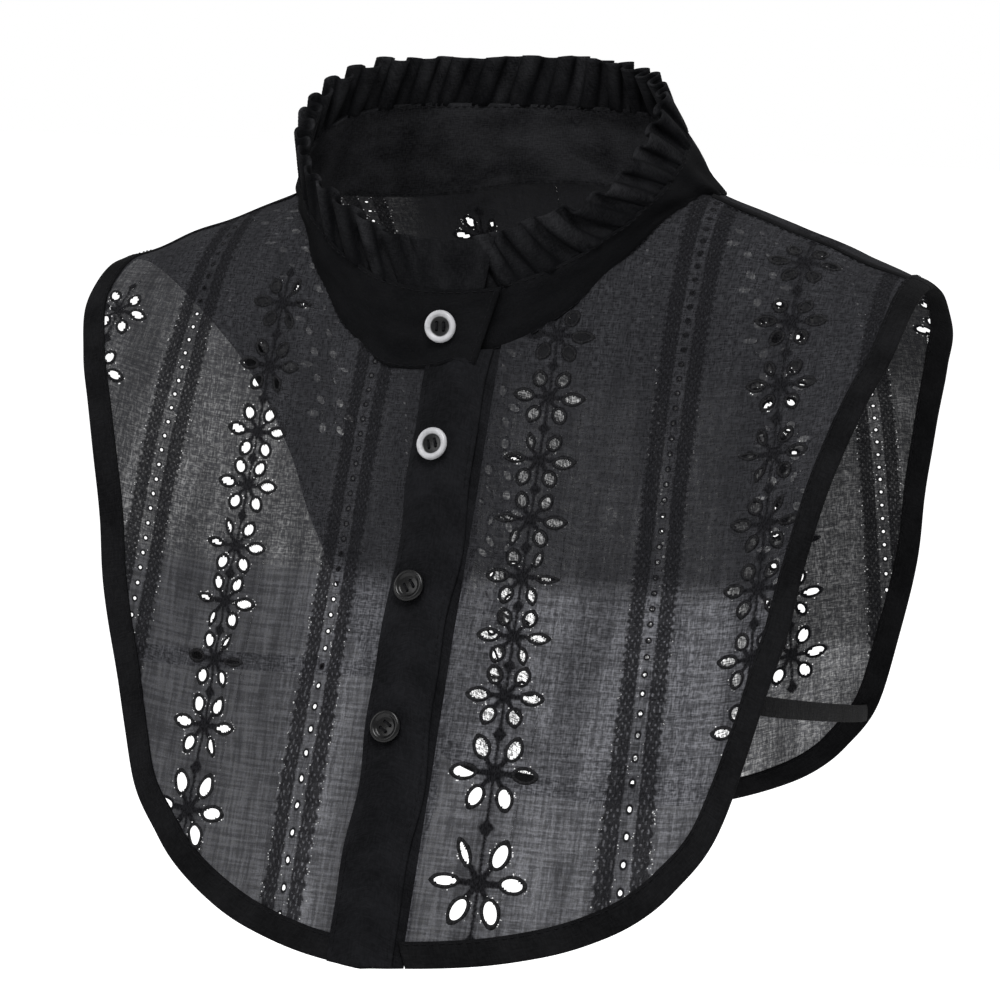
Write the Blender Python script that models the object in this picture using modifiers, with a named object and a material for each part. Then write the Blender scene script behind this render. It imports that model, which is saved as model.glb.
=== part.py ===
"""Detachable collar: a sheer eyelet bib with a buttoned placket, a stand collar and a gathered frill.

Run it with: blender --background --python part.py
Metres, +Z up. The wearer faces -Y, the wearer's left is +X, and the origin is the middle of the neck.
"""
import math

import bmesh
import bpy
import numpy as np
from mathutils import Matrix, Vector

# Fit: how close two sewn pieces lie in the solids
GAP = 0.0003
SEWN_EDGE = 0.0004

# Shoulders: the cloth's highest line runs from the neck out to each sleeveless edge
SHOULDER_HALF = 0.147
RIDGE_HEIGHT = 0.055
SHOULDER_SLOPE = math.radians(21.4)
RIDGE_BACK = 0.012
RIDGE_SWEEP = 0.012
SHOULDER_ASIDE = -0.006
HEM_ASIDE = 0.0045
SEAM_FORWARD = 0.007

# Fall of the cloth: its steepest angle, and the length over which it turns down
FRONT_FALL = math.radians(67.0)
FRONT_FALL_SIDE = math.radians(77.0)
FRONT_TURN = 0.0255
FRONT_TURN_SIDE = 0.077
BACK_FALL = math.radians(80.0)
BACK_TURN = 0.033
BACK_FALL_SIDE = math.radians(86.0)
BACK_TURN_BLADE = 0.074
BACK_TURN_SIDE = 0.066
BLADE_OUT = 0.8

# Panels: depth below the shoulder's end, and half the width across the chest
FRONT_DROP = 0.2085
BACK_DROP = 0.204
CHEST_HALF = 0.117
BACK_HALF = 0.119
BACK_ROUND = 0.024

# Neckline on the cloth, measured along it from the highest line
NECK_HALF = 0.079
NECK_FRONT = 0.107
NECK_BACK = 0.042
NECK_ASIDE = -0.008
NECK_SCOOP = 2.2

# Walls
CLOTH = 0.0010
BAND = 0.0014
STAND_WALL = 0.0020
BINDING_WALL = 0.0020
FRILL_WALL = 0.0010
STRAP_WALL = 0.0011

# Top edge of the stand collar
TOP_HALF = 0.067
TOP_DEEP = 0.0465
TOP_ASIDE = -0.008
TOP_SET_BACK = 0.000
TOP_FRONT_HEIGHT = -0.004
TOP_SIDE_HEIGHT = 0.040
TOP_BACK_HEIGHT = 0.055
TAB_TURN = math.radians(12.3)
LAP_TURN = math.radians(42.0)

# Frill along the top edge
FRILL_HEIGHT = 0.0175
FRILL_LEAN_IN = 0.0025
FRILL_ASIDE = -0.0028
FRILL_FOLDS = 34
FRILL_DEPTH = 0.0024
FRILL_SLANT = 1.1
FRILL_UNEVEN = 0.28

# Button front
PLACKET_WIDTH = 0.0215
UNDER_PEEP = 0.0036
UNDER_WIDTH = 0.0215
BUTTON_RADIUS = 0.0054
BUTTON_THICK = 0.0026
BUTTON_DISH_RADIUS = 0.0036
BUTTON_DISH_DEPTH = 0.0008
BUTTON_HOLE = 0.0007
BUTTON_HOLE_SPREAD = 0.0012
BUTTON_SIDES = 14

# Bindings and side elastics
BINDING_WIDTH = 0.007
STRAP_WIDTH = 0.0065
STRAP_FRONT_DROP = 0.128
STRAP_BACK_DROP = 0.169
STRAP_BOW = 0.010
STRAP_LAP = 0.0045

# Embroidered rows: flowers and ladders take turns, one pitch apart
ROW_OUT = (0.0, 0.031, 0.072, 0.1055, 0.137)
ROW_FLARE = 0.29
EYELET_LONG = 0.0050
EYELET_WIDE = 0.0029
EYELET_REACH = 0.0077
EYELET_SIDES = 6
PATTERN_GROWTH = 0.75
GROWTH_FROM = 0.185
GROWTH_OVER = 0.080

# Edge of a panel from the shoulder's end to the middle of the hem: how far down, as a share of the
# panel's depth; how much of the shoulder's extra width is left; and the share of the chest's width
EDGE = (
    {"down": 0.000, "shoulder": 1.000, "chest": 1.000},
    {"down": 0.070, "shoulder": 0.920, "chest": 1.000},
    {"down": 0.150, "shoulder": 0.700, "chest": 1.000},
    {"down": 0.220, "shoulder": 0.515, "chest": 1.000},
    {"down": 0.300, "shoulder": 0.345, "chest": 1.000},
    {"down": 0.400, "shoulder": 0.170, "chest": 1.000},
    {"down": 0.510, "shoulder": 0.030, "chest": 1.000},
    {"down": 0.655, "shoulder": 0.000, "chest": 0.936},
    {"down": 0.800, "shoulder": 0.000, "chest": 0.855},
    {"down": 0.875, "shoulder": 0.000, "chest": 0.756},
    {"down": 0.920, "shoulder": 0.000, "chest": 0.667},
    {"down": 0.952, "shoulder": 0.000, "chest": 0.560},
    {"down": 0.977, "shoulder": 0.000, "chest": 0.420},
    {"down": 0.993, "shoulder": 0.000, "chest": 0.220},
    {"down": 1.000, "shoulder": 0.000, "chest": 0.000},
)
CORNER_ROW = 9

# Grids of the panels
FRONT_COLUMNS = 14
FRONT_ROWS = 16
BACK_COLUMNS = 26
BACK_ROWS = 14

# Buttons down the front: how far aside; place along the cloth below the neckline as a share of the
# front's length there, or none on the stand's tab; how the face tips and turns; and its colour
BUTTONS = (
    {"aside": -0.0060, "along": None, "tip": 4.0, "turn": 0.0, "finish": "pale"},
    {"aside": -0.0022, "along": 0.150, "tip": 6.0, "turn": 10.0, "finish": "pale"},
    {"aside": -0.0022, "along": 0.386, "tip": 3.0, "turn": 70.0, "finish": "black"},
    {"aside": -0.0022, "along": 0.616, "tip": 5.0, "turn": 35.0, "finish": "black"},
)

# Rows of flowers cut through the panels: the row out from the middle, left positive, and where its
# first flower could lie, along the cloth from the highest line
FLOWER_ROWS = (
    {"front": True, "row": -4, "down": (0.0525, 0.0775, 0.0995)},
    {"front": True, "row": -2, "down": (0.0630, 0.0855, 0.1085, 0.1270, 0.1480, 0.1670, 0.1865, 0.2085, 0.2365)},
    {"front": True, "row": 1, "down": (0.0845, 0.1060, 0.1275, 0.1475, 0.1665, 0.1860, 0.2055, 0.2305, 0.2655)},
    {"front": True, "row": 3, "down": (0.0235, 0.0490, 0.0720, 0.0955, 0.1185, 0.1400, 0.1625, 0.1850)},
    {"front": False, "row": -3, "down": (0.0150, 0.0375, 0.0595, 0.0810, 0.1020, 0.1230)},
    {"front": False, "row": -1, "down": (0.0600, 0.0820, 0.1035, 0.1245, 0.1450, 0.1650, 0.1850, 0.2065, 0.2330)},
    {"front": False, "row": 2, "down": (0.0430, 0.0650, 0.0865, 0.1075, 0.1280, 0.1480, 0.1680, 0.1880, 0.2110)},
    {"front": False, "row": 4, "down": (0.0325, 0.0545, 0.0760)},
)

FALL_STEPS = 170
FALL_STEP = 0.002


def smooth_path(points, count):
    """Points spread evenly along a Catmull-Rom curve through the given ones."""
    knots = np.array(points, dtype=float)
    ends = np.vstack([2 * knots[0] - knots[1], knots, 2 * knots[-1] - knots[-2]])
    fine = []
    for index in range(1, len(ends) - 2):
        before, start, end, after = ends[index - 1:index + 3]
        for share in np.linspace(0.0, 1.0, 14, endpoint=False):
            square = share * share
            cube = square * share
            fine.append(0.5 * ((2 * start) + (end - before) * share
                               + (2 * before - 5 * start + 4 * end - after) * square
                               + (3 * start - before - 3 * end + after) * cube))
    fine.append(knots[-1])
    return spread(fine, count)


def spread(points, count):
    """Points spread evenly along a polyline."""
    line = np.array(points, dtype=float)
    lengths = np.concatenate([[0.0], np.cumsum(np.linalg.norm(np.diff(line, axis=0), axis=1))])
    places = np.linspace(0.0, lengths[-1], count)
    columns = [np.interp(places, lengths, line[:, axis]) for axis in range(line.shape[1])]
    return np.stack(columns, axis=1)


def along(line, share):
    """The point a share of the way along evenly spread points."""
    place = min(max(share, 0.0), 1.0) * (len(line) - 1)
    low = min(int(place), len(line) - 2)
    return line[low] + (line[low + 1] - line[low]) * (place - low)


def fall(x, front):
    """Lengths along the cloth from its highest line at x, with the y and z that they reach."""
    out = min(abs(x) / SHOULDER_HALF, 1.1)
    square = out * out
    if front:
        steepest = FRONT_FALL + (FRONT_FALL_SIDE - FRONT_FALL) * square
        turn = FRONT_TURN + (FRONT_TURN_SIDE - FRONT_TURN) * square * square
        way = -1.0
    else:
        steepest = BACK_FALL + (BACK_FALL_SIDE - BACK_FALL) * square
        blade = BLADE_OUT ** 2
        turn = BACK_TURN * (square - blade) * (square - 1.0) / blade
        turn += BACK_TURN_BLADE * square * (square - 1.0) / (blade * (blade - 1.0))
        turn += BACK_TURN_SIDE * square * (square - blade) / (1.0 - blade)
        way = 1.0
    middles = (np.arange(FALL_STEPS) + 0.5) * FALL_STEP
    angles = steepest * (1.0 - np.exp(-middles / turn))
    aside = abs(x)
    if not front and aside < BACK_ROUND:
        aside = (aside * aside / BACK_ROUND + BACK_ROUND) / 2
    highest = RIDGE_HEIGHT - math.tan(SHOULDER_SLOPE) * aside
    ys = np.concatenate([[0.0], np.cumsum(np.cos(angles))]) * FALL_STEP * way
    ys += RIDGE_BACK + RIDGE_SWEEP * square
    zs = highest - np.concatenate([[0.0], np.cumsum(np.sin(angles))]) * FALL_STEP
    return np.arange(FALL_STEPS + 1) * FALL_STEP, ys, zs


def cloth(x, length):
    """The cloth's middle surface: length is forward of the highest line, or behind it if negative."""
    lengths, ys, zs = fall(x, length >= 0.0)
    reach = abs(length)
    return Vector((x, float(np.interp(reach, lengths, ys)), float(np.interp(reach, lengths, zs))))


def cloth_out(x, length):
    """The cloth's outward normal."""
    step = 0.001
    across = cloth(x + step, length) - cloth(x - step, length)
    down = cloth(x, length + step) - cloth(x, length - step)
    return across.cross(-down).normalized()


def length_at(x, z, front):
    """How far along the cloth the height z is reached at x."""
    lengths, _, zs = fall(x, front)
    return float(np.interp(-z, -zs, lengths)) * (1.0 if front else -1.0)


def shoulder_end(side):
    """Half the width at the shoulder's end on one side: 1 is the wearer's left, -1 the right."""
    return SHOULDER_HALF + side * SHOULDER_ASIDE


def outline(front, side):
    """Edge of a panel on one side as (x, length) points, from the shoulder seam to the middle of the hem."""
    drop = FRONT_DROP if front else BACK_DROP
    half = CHEST_HALF if front else BACK_HALF
    tip = RIDGE_HEIGHT - math.tan(SHOULDER_SLOPE) * SHOULDER_HALF
    points = []
    for row in EDGE:
        x = half * row["chest"] + (shoulder_end(side) - half) * row["shoulder"]
        x += HEM_ASIDE * side * 4 * row["chest"] * (1 - row["chest"])
        points.append((x, length_at(x, tip - drop * row["down"], front)))
    if front:
        points[0] = (shoulder_end(side), SEAM_FORWARD)
    else:
        points[0] = (shoulder_end(side), 0.0)
        points.insert(0, (shoulder_end(side), SEAM_FORWARD))
    return points


def inward(line, front):
    """Unit steps from an edge into its panel."""
    ways = np.gradient(line, axis=0)
    ways /= np.linalg.norm(ways, axis=1)[:, None]
    sign = 1.0 if front else -1.0
    return np.stack([-ways[:, 1], ways[:, 0]], axis=1) * sign


def neckline(turn, spare=0.0):
    """The neckline as (x, length); turn is 0 at the front and grows towards the wearer's left."""
    x = NECK_ASIDE + (NECK_HALF + spare) * math.sin(turn)
    toward = math.cos(turn)
    if toward >= 0.0:
        return x, (NECK_FRONT + spare) * toward ** NECK_SCOOP
    return x, (NECK_BACK + spare) * toward


def seam_turn(spare):
    """The turn at which the neckline meets the shoulder seam."""
    return math.acos((SEAM_FORWARD / (NECK_FRONT + spare)) ** (1.0 / NECK_SCOOP))


def coons(top, bottom, first, last, across, down):
    """A point of the patch between four edges, each a line of evenly spread points."""
    straight = (1 - down) * along(top, across) + down * along(bottom, across)
    straight = straight + (1 - across) * along(first, down) + across * along(last, down)
    corners = (1 - across) * ((1 - down) * top[0] + down * bottom[0])
    corners = corners + across * ((1 - down) * top[-1] + down * bottom[-1])
    return straight - corners


def material(name, colour, roughness, metallic=0.0):
    made = bpy.data.materials.new(name)
    made.use_nodes = True
    shader = made.node_tree.nodes["Principled BSDF"]
    shader.inputs["Base Color"].default_value = (*colour, 1.0)
    shader.inputs["Roughness"].default_value = roughness
    shader.inputs["Metallic"].default_value = metallic
    return made


def sheet(name, shape, columns, rows, wall, surface, collection):
    """A grid laid over shape(across, down), which gives a point in space, thickened to a wall."""
    grid = bmesh.new()
    bmesh.ops.create_grid(grid, x_segments=columns, y_segments=rows, size=1.0)
    for vertex in grid.verts:
        vertex.co = shape((vertex.co.x + 1) / 2, (vertex.co.y + 1) / 2)
    mesh = bpy.data.meshes.new(name)
    grid.to_mesh(mesh)
    grid.free()
    mesh.shade_smooth()
    made = bpy.data.objects.new(name, mesh)
    collection.objects.link(made)
    thick = made.modifiers.new("wall", "SOLIDIFY")
    thick.thickness = wall
    thick.offset = 0.0
    mesh.materials.append(surface)
    return made


def seam_end(front, side):
    """Where a panel's cloth meets the shoulder seam at the binding."""
    return (shoulder_end(side) - BINDING_WIDTH, SEAM_FORWARD + (GAP / 2 if front else -GAP / 2))


def cut_edge(front, side):
    """One edge of a panel's cloth inside its binding, as armhole and hem, down to the middle."""
    edge = smooth_path(outline(front, side), 160)
    cut = edge + inward(edge, front) * BINDING_WIDTH
    cut[0] = seam_end(front, side)
    drop = FRONT_DROP if front else BACK_DROP
    tip = RIDGE_HEIGHT - math.tan(SHOULDER_SLOPE) * SHOULDER_HALF
    level = tip - drop * EDGE[CORNER_ROW]["down"]
    heights = np.array([cloth(x, length).z for x, length in cut])
    corner = int(np.argmax(heights < level))
    return cut[:corner + 1], cut[corner:]


def front_edges(side, inner):
    """The four edges of a front: neck and shoulder, hem, placket and armhole, as the left front's."""
    armhole, hem = cut_edge(True, side)
    hem = hem[hem[:, 0] >= inner]
    last = (inner, float(np.interp(inner, hem[::-1, 0], hem[::-1, 1])))
    hem = spread(np.vstack([hem, [last]])[::-1], 90)
    spare = 3 * GAP
    start = math.asin((inner - NECK_ASIDE * side) / (NECK_HALF + spare))
    neck = []
    for turn in np.linspace(start, seam_turn(spare), 40):
        x, length = neckline(turn * side, spare)
        neck.append((x * side, length))
    neck[-1] = (neck[-1][0], seam_end(True, side)[1])
    neck.append(seam_end(True, side))
    top = spread(neck, 90)
    return top, hem, spread([top[0], hem[0]], 90), spread(armhole, 90)


def back_edges():
    """The four edges of the back: shoulders and neck, hem, and the right and left armholes."""
    mirror = np.array([-1.0, 1.0])
    left, left_hem = cut_edge(False, 1)
    right, right_hem = cut_edge(False, -1)
    spare = 3 * GAP
    end = math.pi / 2
    neck = [seam_end(False, -1) * mirror]
    for turn in np.linspace(-end, end - 2 * math.pi, 60):
        neck.append(neckline(turn, spare))
    neck[1] = (neck[1][0], seam_end(False, 1)[1])
    neck[-1] = (neck[-1][0], seam_end(False, 1)[1])
    neck.append(seam_end(False, 1))
    hem = np.vstack([(right_hem * mirror)[:-1], left_hem[::-1]])
    return spread(neck, 140), spread(hem, 140), spread(right, 90) * mirror, spread(left, 90)


def front_panel(name, side, inner, surface, collection):
    """A front of thin cloth, from its placket to the binding of its armhole."""
    top, hem, first, last = front_edges(side, inner)

    def shape(across, down):
        x, length = coons(top, hem, first, last, across, down)
        return cloth(x * side, length)

    return sheet(name, shape, FRONT_COLUMNS, FRONT_ROWS, CLOTH, surface, collection)


def back_panel(name, surface, collection):
    """The back in one piece of thin cloth, from shoulder seam to shoulder seam."""
    top, hem, first, last = back_edges()

    def shape(across, down):
        x, length = coons(top, hem, first, last, across, down)
        return cloth(x, length)

    return sheet(name, shape, BACK_COLUMNS, BACK_ROWS, CLOTH, surface, collection)


def stations(line, count):
    return [along(line, number / count) for number in range(count + 1)]


def binding(name, edge, side, front, surface, collection):
    """A folded band outside a panel's cut edge, with a station at each of the panel's own."""
    line = np.array(edge)
    into = inward(line, front)
    into[0] = (-1.0, 0.0)
    into[-1] = (0.0, -1.0) if front else (1.0, 0.0)

    def shape(share, across):
        index = int(round(share * (len(line) - 1)))
        lift = SEWN_EDGE + (BINDING_WIDTH - SEWN_EDGE) * across
        x, length = line[index] - into[index] * lift
        return cloth(x * side, length)

    return sheet(name, shape, len(line) - 1, 1, BINDING_WALL, surface, collection)


def bindings(surface, collection):
    for name, side, inner in (("binding_front_right", -1, right_inner()), ("binding_front_left", 1, left_inner())):
        _, hem, _, armhole = front_edges(side, inner)
        edge = stations(armhole, FRONT_ROWS) + stations(hem[::-1], FRONT_COLUMNS)[1:]
        binding(name, edge, side, True, surface, collection)
    _, hem, other, armhole = back_edges()
    edge = stations(armhole, BACK_ROWS) + stations(hem[::-1], BACK_COLUMNS)[1:]
    edge += stations(other[::-1], BACK_ROWS)[1:]
    binding("binding_back", edge, 1, False, surface, collection)


def right_inner():
    """Where the wearer's right front meets the placket, out from the middle."""
    return PLACKET_WIDTH / 2 + GAP


def left_inner():
    """Where the wearer's left front meets the button stand, out from the middle."""
    return PLACKET_WIDTH / 2 + UNDER_PEEP + GAP


def hem_length(x):
    """Length along the cloth to the front hem at x."""
    edge = smooth_path(outline(True, 1), 160)
    return float(np.interp(abs(x), edge[::-1, 0], edge[::-1, 1]))


def band(name, left, right, lift, surface, collection):
    """A doubled band down the front between two x, lifted off the cloth's middle surface."""
    spare = 3 * GAP

    def shape(across, down):
        x = left + (right - left) * across
        turn = math.asin((x - NECK_ASIDE) / (NECK_HALF + spare))
        start = neckline(turn, spare)[1]
        length = start + (hem_length(x) - start) * down
        return cloth(x, length) + cloth_out(x, length) * lift

    return sheet(name, shape, 2, 18, BAND, surface, collection)


def stand_rise(turn):
    """Bottom and top of the stand collar at a turn round the neck."""
    x, length = neckline(turn)
    into = Vector((-math.sin(turn) * NECK_FRONT, math.cos(turn) * NECK_HALF, 0.0)).normalized()
    bottom = cloth(x, length) + into * (STAND_WALL / 2 + 2 * GAP)
    toward = math.cos(turn)
    level = (TOP_FRONT_HEIGHT + TOP_BACK_HEIGHT) / 2
    height = (level + TOP_SIDE_HEIGHT) / 2 - (TOP_BACK_HEIGHT - TOP_FRONT_HEIGHT) / 2 * toward
    height += (level - TOP_SIDE_HEIGHT) / 2 * math.cos(2 * turn)
    top = Vector((TOP_ASIDE + TOP_HALF * math.sin(turn), TOP_SET_BACK - TOP_DEEP * toward, height))
    return bottom, top


def stand_out(turn):
    """The stand collar's outward normal at a turn."""
    step = 0.01
    bottom, top = stand_rise(turn)
    ahead = (sum(stand_rise(turn + step), Vector()) - sum(stand_rise(turn - step), Vector()))
    return ahead.cross(top - bottom).normalized()


def lap(share, clearance):
    """How far a band that closes over itself stands out: its first end lies under its last."""
    turn = share * (2 * math.pi + 2 * TAB_TURN)
    whole = 2 * math.pi + 2 * TAB_TURN
    half = clearance / 2
    under = min(max((LAP_TURN - turn) / (LAP_TURN - 2 * TAB_TURN), 0.0), 1.0)
    over = min(max((LAP_TURN - (whole - turn)) / (LAP_TURN - 2 * TAB_TURN), 0.0), 1.0)
    ease_under = under * under * (3 - 2 * under)
    ease_over = over * over * (3 - 2 * over)
    return half * (ease_over - ease_under)


def stand_point(share, rise):
    """A point of the stand collar's middle surface; share runs from its hidden end to its tab."""
    turn = -TAB_TURN + share * (2 * math.pi + 2 * TAB_TURN)
    bottom, top = stand_rise(turn)
    return bottom.lerp(top, rise) + stand_out(turn) * lap(share, STAND_WALL + GAP)


def frill_point(share, rise):
    """A point of the frill, which rises from the stand collar's top in soft slanting folds."""
    turn = -TAB_TURN + share * (2 * math.pi + 2 * TAB_TURN)
    bottom, top = stand_rise(turn)
    up = (top - bottom).normalized()
    out = stand_out(turn)
    ends = min(share, 1.0 - share) * (2 * math.pi + 2 * TAB_TURN)
    loose = min(max((ends - 2 * TAB_TURN) / TAB_TURN, 0.0), 1.0)
    wave = FRILL_FOLDS * turn + FRILL_SLANT * rise
    depth = FRILL_DEPTH * loose * (0.18 + 0.82 * rise) * (1.0 + FRILL_UNEVEN * math.sin(3.1 * turn + 0.6))
    ripple = math.sin(wave) + 0.22 * math.sin(2 * wave + 0.9)
    lean = Vector((FRILL_ASIDE, 0.0, 0.0)) - out * FRILL_LEAN_IN
    height = FRILL_HEIGHT * (1.0 + 0.035 * math.sin(5 * turn) * loose)
    seated = top + up * (GAP + STAND_WALL * 0.25) + out * lap(share, 2 * FRILL_WALL + GAP)
    upright = Vector((0.0, 0.0, 0.5)) + up * 0.5
    return seated + upright * height * rise + lean * rise + out * ripple * depth


def seat_frame(point, out, tip, turn):
    """A frame with its z along a surface's normal, tipped a little about a line across it."""
    side = Vector((1.0, 0.0, 0.0))
    up = out.cross(side).normalized()
    side = up.cross(out).normalized()
    flat = Matrix((side, up, out)).transposed().to_4x4()
    spin = Matrix.Rotation(math.radians(turn), 4, "Z")
    return Matrix.Translation(point) @ flat @ spin @ Matrix.Rotation(math.radians(tip), 4, "X")


def button(name, place, surface, collection, cutters):
    """A round four-hole button with a dished face."""
    bpy.ops.mesh.primitive_cylinder_add(vertices=BUTTON_SIDES, radius=BUTTON_RADIUS, depth=BUTTON_THICK)
    made = bpy.context.object
    move_to(made, name, collection)
    made.data.materials.append(surface)
    made.data.shade_smooth()
    made.data.set_sharp_from_angle(angle=math.radians(40))
    rim = made.modifiers.new("rim", "BEVEL")
    rim.width = BUTTON_THICK * 0.2
    rim.segments = 1
    rim.limit_method = "ANGLE"
    rim.angle_limit = math.radians(60)
    shapes = bmesh.new()
    dish = Matrix.Translation((0.0, 0.0, BUTTON_THICK / 2))
    bmesh.ops.create_cone(shapes, cap_ends=True, segments=BUTTON_SIDES, radius1=BUTTON_DISH_RADIUS,
                          radius2=BUTTON_DISH_RADIUS, depth=2 * BUTTON_DISH_DEPTH, matrix=dish)
    cutter(name + "_dish", shapes, made, place, cutters)
    shapes = bmesh.new()
    for x in (-1, 1):
        for y in (-1, 1):
            hole = Matrix.Translation((x * BUTTON_HOLE_SPREAD, y * BUTTON_HOLE_SPREAD, 0.0))
            bmesh.ops.create_cone(shapes, cap_ends=True, segments=5, radius1=BUTTON_HOLE,
                                  radius2=BUTTON_HOLE, depth=2 * BUTTON_THICK, matrix=hole)
    cutter(name + "_holes", shapes, made, place, cutters)
    made.matrix_world = place
    return made


def cutter(name, shapes, target, place, cutters):
    """Take closed shapes out of a target."""
    mesh = bpy.data.meshes.new(name)
    shapes.to_mesh(mesh)
    shapes.free()
    made = bpy.data.objects.new(name, mesh)
    cutters.objects.link(made)
    made.matrix_world = place
    made.hide_render = True
    made.display_type = "WIRE"
    cut = target.modifiers.new(name, "BOOLEAN")
    cut.operation = "DIFFERENCE"
    cut.solver = "EXACT"
    cut.object = made


def move_to(made, name, collection):
    made.name = name
    made.data.name = name
    for owner in list(made.users_collection):
        owner.objects.unlink(made)
    collection.objects.link(made)


def strap(name, side, surface, collection):
    """A side elastic, from inside the front's binding to inside the back's."""
    starts, leaves, ups = [], [], []
    for front, level in ((True, STRAP_FRONT_DROP), (False, STRAP_BACK_DROP)):
        edge = smooth_path(outline(front, side), 160)
        heights = np.array([cloth(x, length).z for x, length in edge])
        index = int(np.argmax(heights < -level))
        x, length = edge[index] + inward(edge, front)[index] * STRAP_LAP
        here = cloth(x, length)
        starts.append(here - cloth_out(x, length) * (BINDING_WALL / 2 + 2 * GAP + STRAP_WALL / 2))
        leaves.append((cloth(x + 0.001, length) - here).normalized() * STRAP_BOW)
        rise = here - cloth(x, length + (0.001 if front else -0.001))
        ups.append(rise.normalized() * STRAP_WIDTH)

    def shape(share, across):
        eased = share * share * (3 - 2 * share) * 0.5 + share * 0.5
        rest = 1.0 - eased
        point = starts[0] * rest ** 3 + (starts[0] + leaves[0]) * 3 * rest * rest * eased
        point += (starts[1] + leaves[1]) * 3 * rest * eased ** 2 + starts[1] * eased ** 3
        point += ups[0].lerp(ups[1], eased) * (across - 0.5)
        return Vector((point.x * side, point.y, point.z))

    return sheet(name, shape, 16, 1, STRAP_WALL, surface, collection)


def growth(length):
    """How much larger the pattern is towards the hem."""
    share = min(max((abs(length) - GROWTH_FROM) / GROWTH_OVER, 0.0), 1.0)
    return 1.0 + PATTERN_GROWTH * share * share * (3 - 2 * share)


def flowers(front, side):
    """Middles of the eyelet flowers of a panel, as (x, length)."""
    found = []
    for row in FLOWER_ROWS:
        if row["front"] != front or (front and row["row"] * side < 0):
            continue
        out = math.copysign(ROW_OUT[abs(row["row"])], row["row"])
        edge = smooth_path(outline(front, 1 if out > 0 else -1), 160)
        for length in row["down"]:
            x = out * (1.0 + ROW_FLARE * (length - 0.1))
            signed = length if front else -length
            if room(x, signed, edge, front):
                found.append((x, signed))
    return found


def room(x, length, edge, front):
    """Whether a flower fits on the cloth, clear of the neckline, seam and binding."""
    flower = EYELET_REACH + EYELET_LONG / 2 + GAP
    middle = np.array([abs(x), length])
    clear = np.min(np.linalg.norm(edge - middle, axis=1))
    inside = abs(x) < np.interp(abs(length), np.abs(edge[:, 1]), edge[:, 0])
    turns = np.linspace(0.0, 2 * math.pi, 120)
    neck = np.array([neckline(turn) for turn in turns])
    to_neck = np.min(np.linalg.norm(neck - np.array([x, length]), axis=1))
    beyond = abs(length) > neck_reach(x, front)
    below_seam = length > SEAM_FORWARD + EYELET_WIDE if front else length < -EYELET_WIDE
    return bool(inside and clear > BINDING_WIDTH + flower and to_neck > flower and beyond and below_seam)


def neck_reach(x, front):
    """How far the neckline reaches along the cloth at x."""
    share = (x - NECK_ASIDE) / NECK_HALF
    if abs(share) >= 1.0:
        return 0.0
    toward = math.sqrt(1.0 - share * share)
    return NECK_FRONT * toward ** NECK_SCOOP if front else NECK_BACK * toward


def eyelets(name, panel, middles, cutters):
    """Cut a pair of pointed eyelets, a flower's side petals, through the cloth at each middle."""
    shapes = bmesh.new()
    for x, length in middles:
        size = math.sqrt(growth(length))
        for way in (-1, 1):
            aside = way * EYELET_REACH * size
            climb = math.copysign(math.tan(SHOULDER_SLOPE) * aside, x * length * aside)
            place = (x + aside, length - climb)
            frame = seat_frame(cloth(*place), cloth_out(*place), 0.0, 0.0)
            scale = Matrix.Diagonal((EYELET_LONG / 2 * size, EYELET_WIDE / 2 * size, 1.0, 1.0))
            bmesh.ops.create_cone(shapes, cap_ends=True, segments=EYELET_SIDES, radius1=1.0, radius2=1.0,
                                  depth=6 * CLOTH, matrix=frame @ scale)
    cutter(name, shapes, panel, Matrix.Identity(4), cutters)


def button_places():
    """Frames of the buttons, each seated on the band beneath it."""
    places = []
    for row in BUTTONS:
        clear = GAP + BUTTON_THICK / 2 + BUTTON_RADIUS * math.sin(math.radians(row["tip"]))
        if row["along"] is None:
            turn = math.asin((row["aside"] - NECK_ASIDE) / NECK_HALF)
            share = 1.0 - (TAB_TURN - turn) / (2 * math.pi + 2 * TAB_TURN)
            point = stand_point(share, 0.48)
            out = stand_out(turn)
            clear += STAND_WALL / 2
        else:
            start = NECK_FRONT
            length = start + (hem_length(0.0) - start) * row["along"]
            point = cloth(row["aside"], length)
            out = cloth_out(row["aside"], length)
            clear += GAP / 2 + BAND
        places.append(seat_frame(point + out * clear, out, row["tip"], row["turn"]))
    return places


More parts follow.
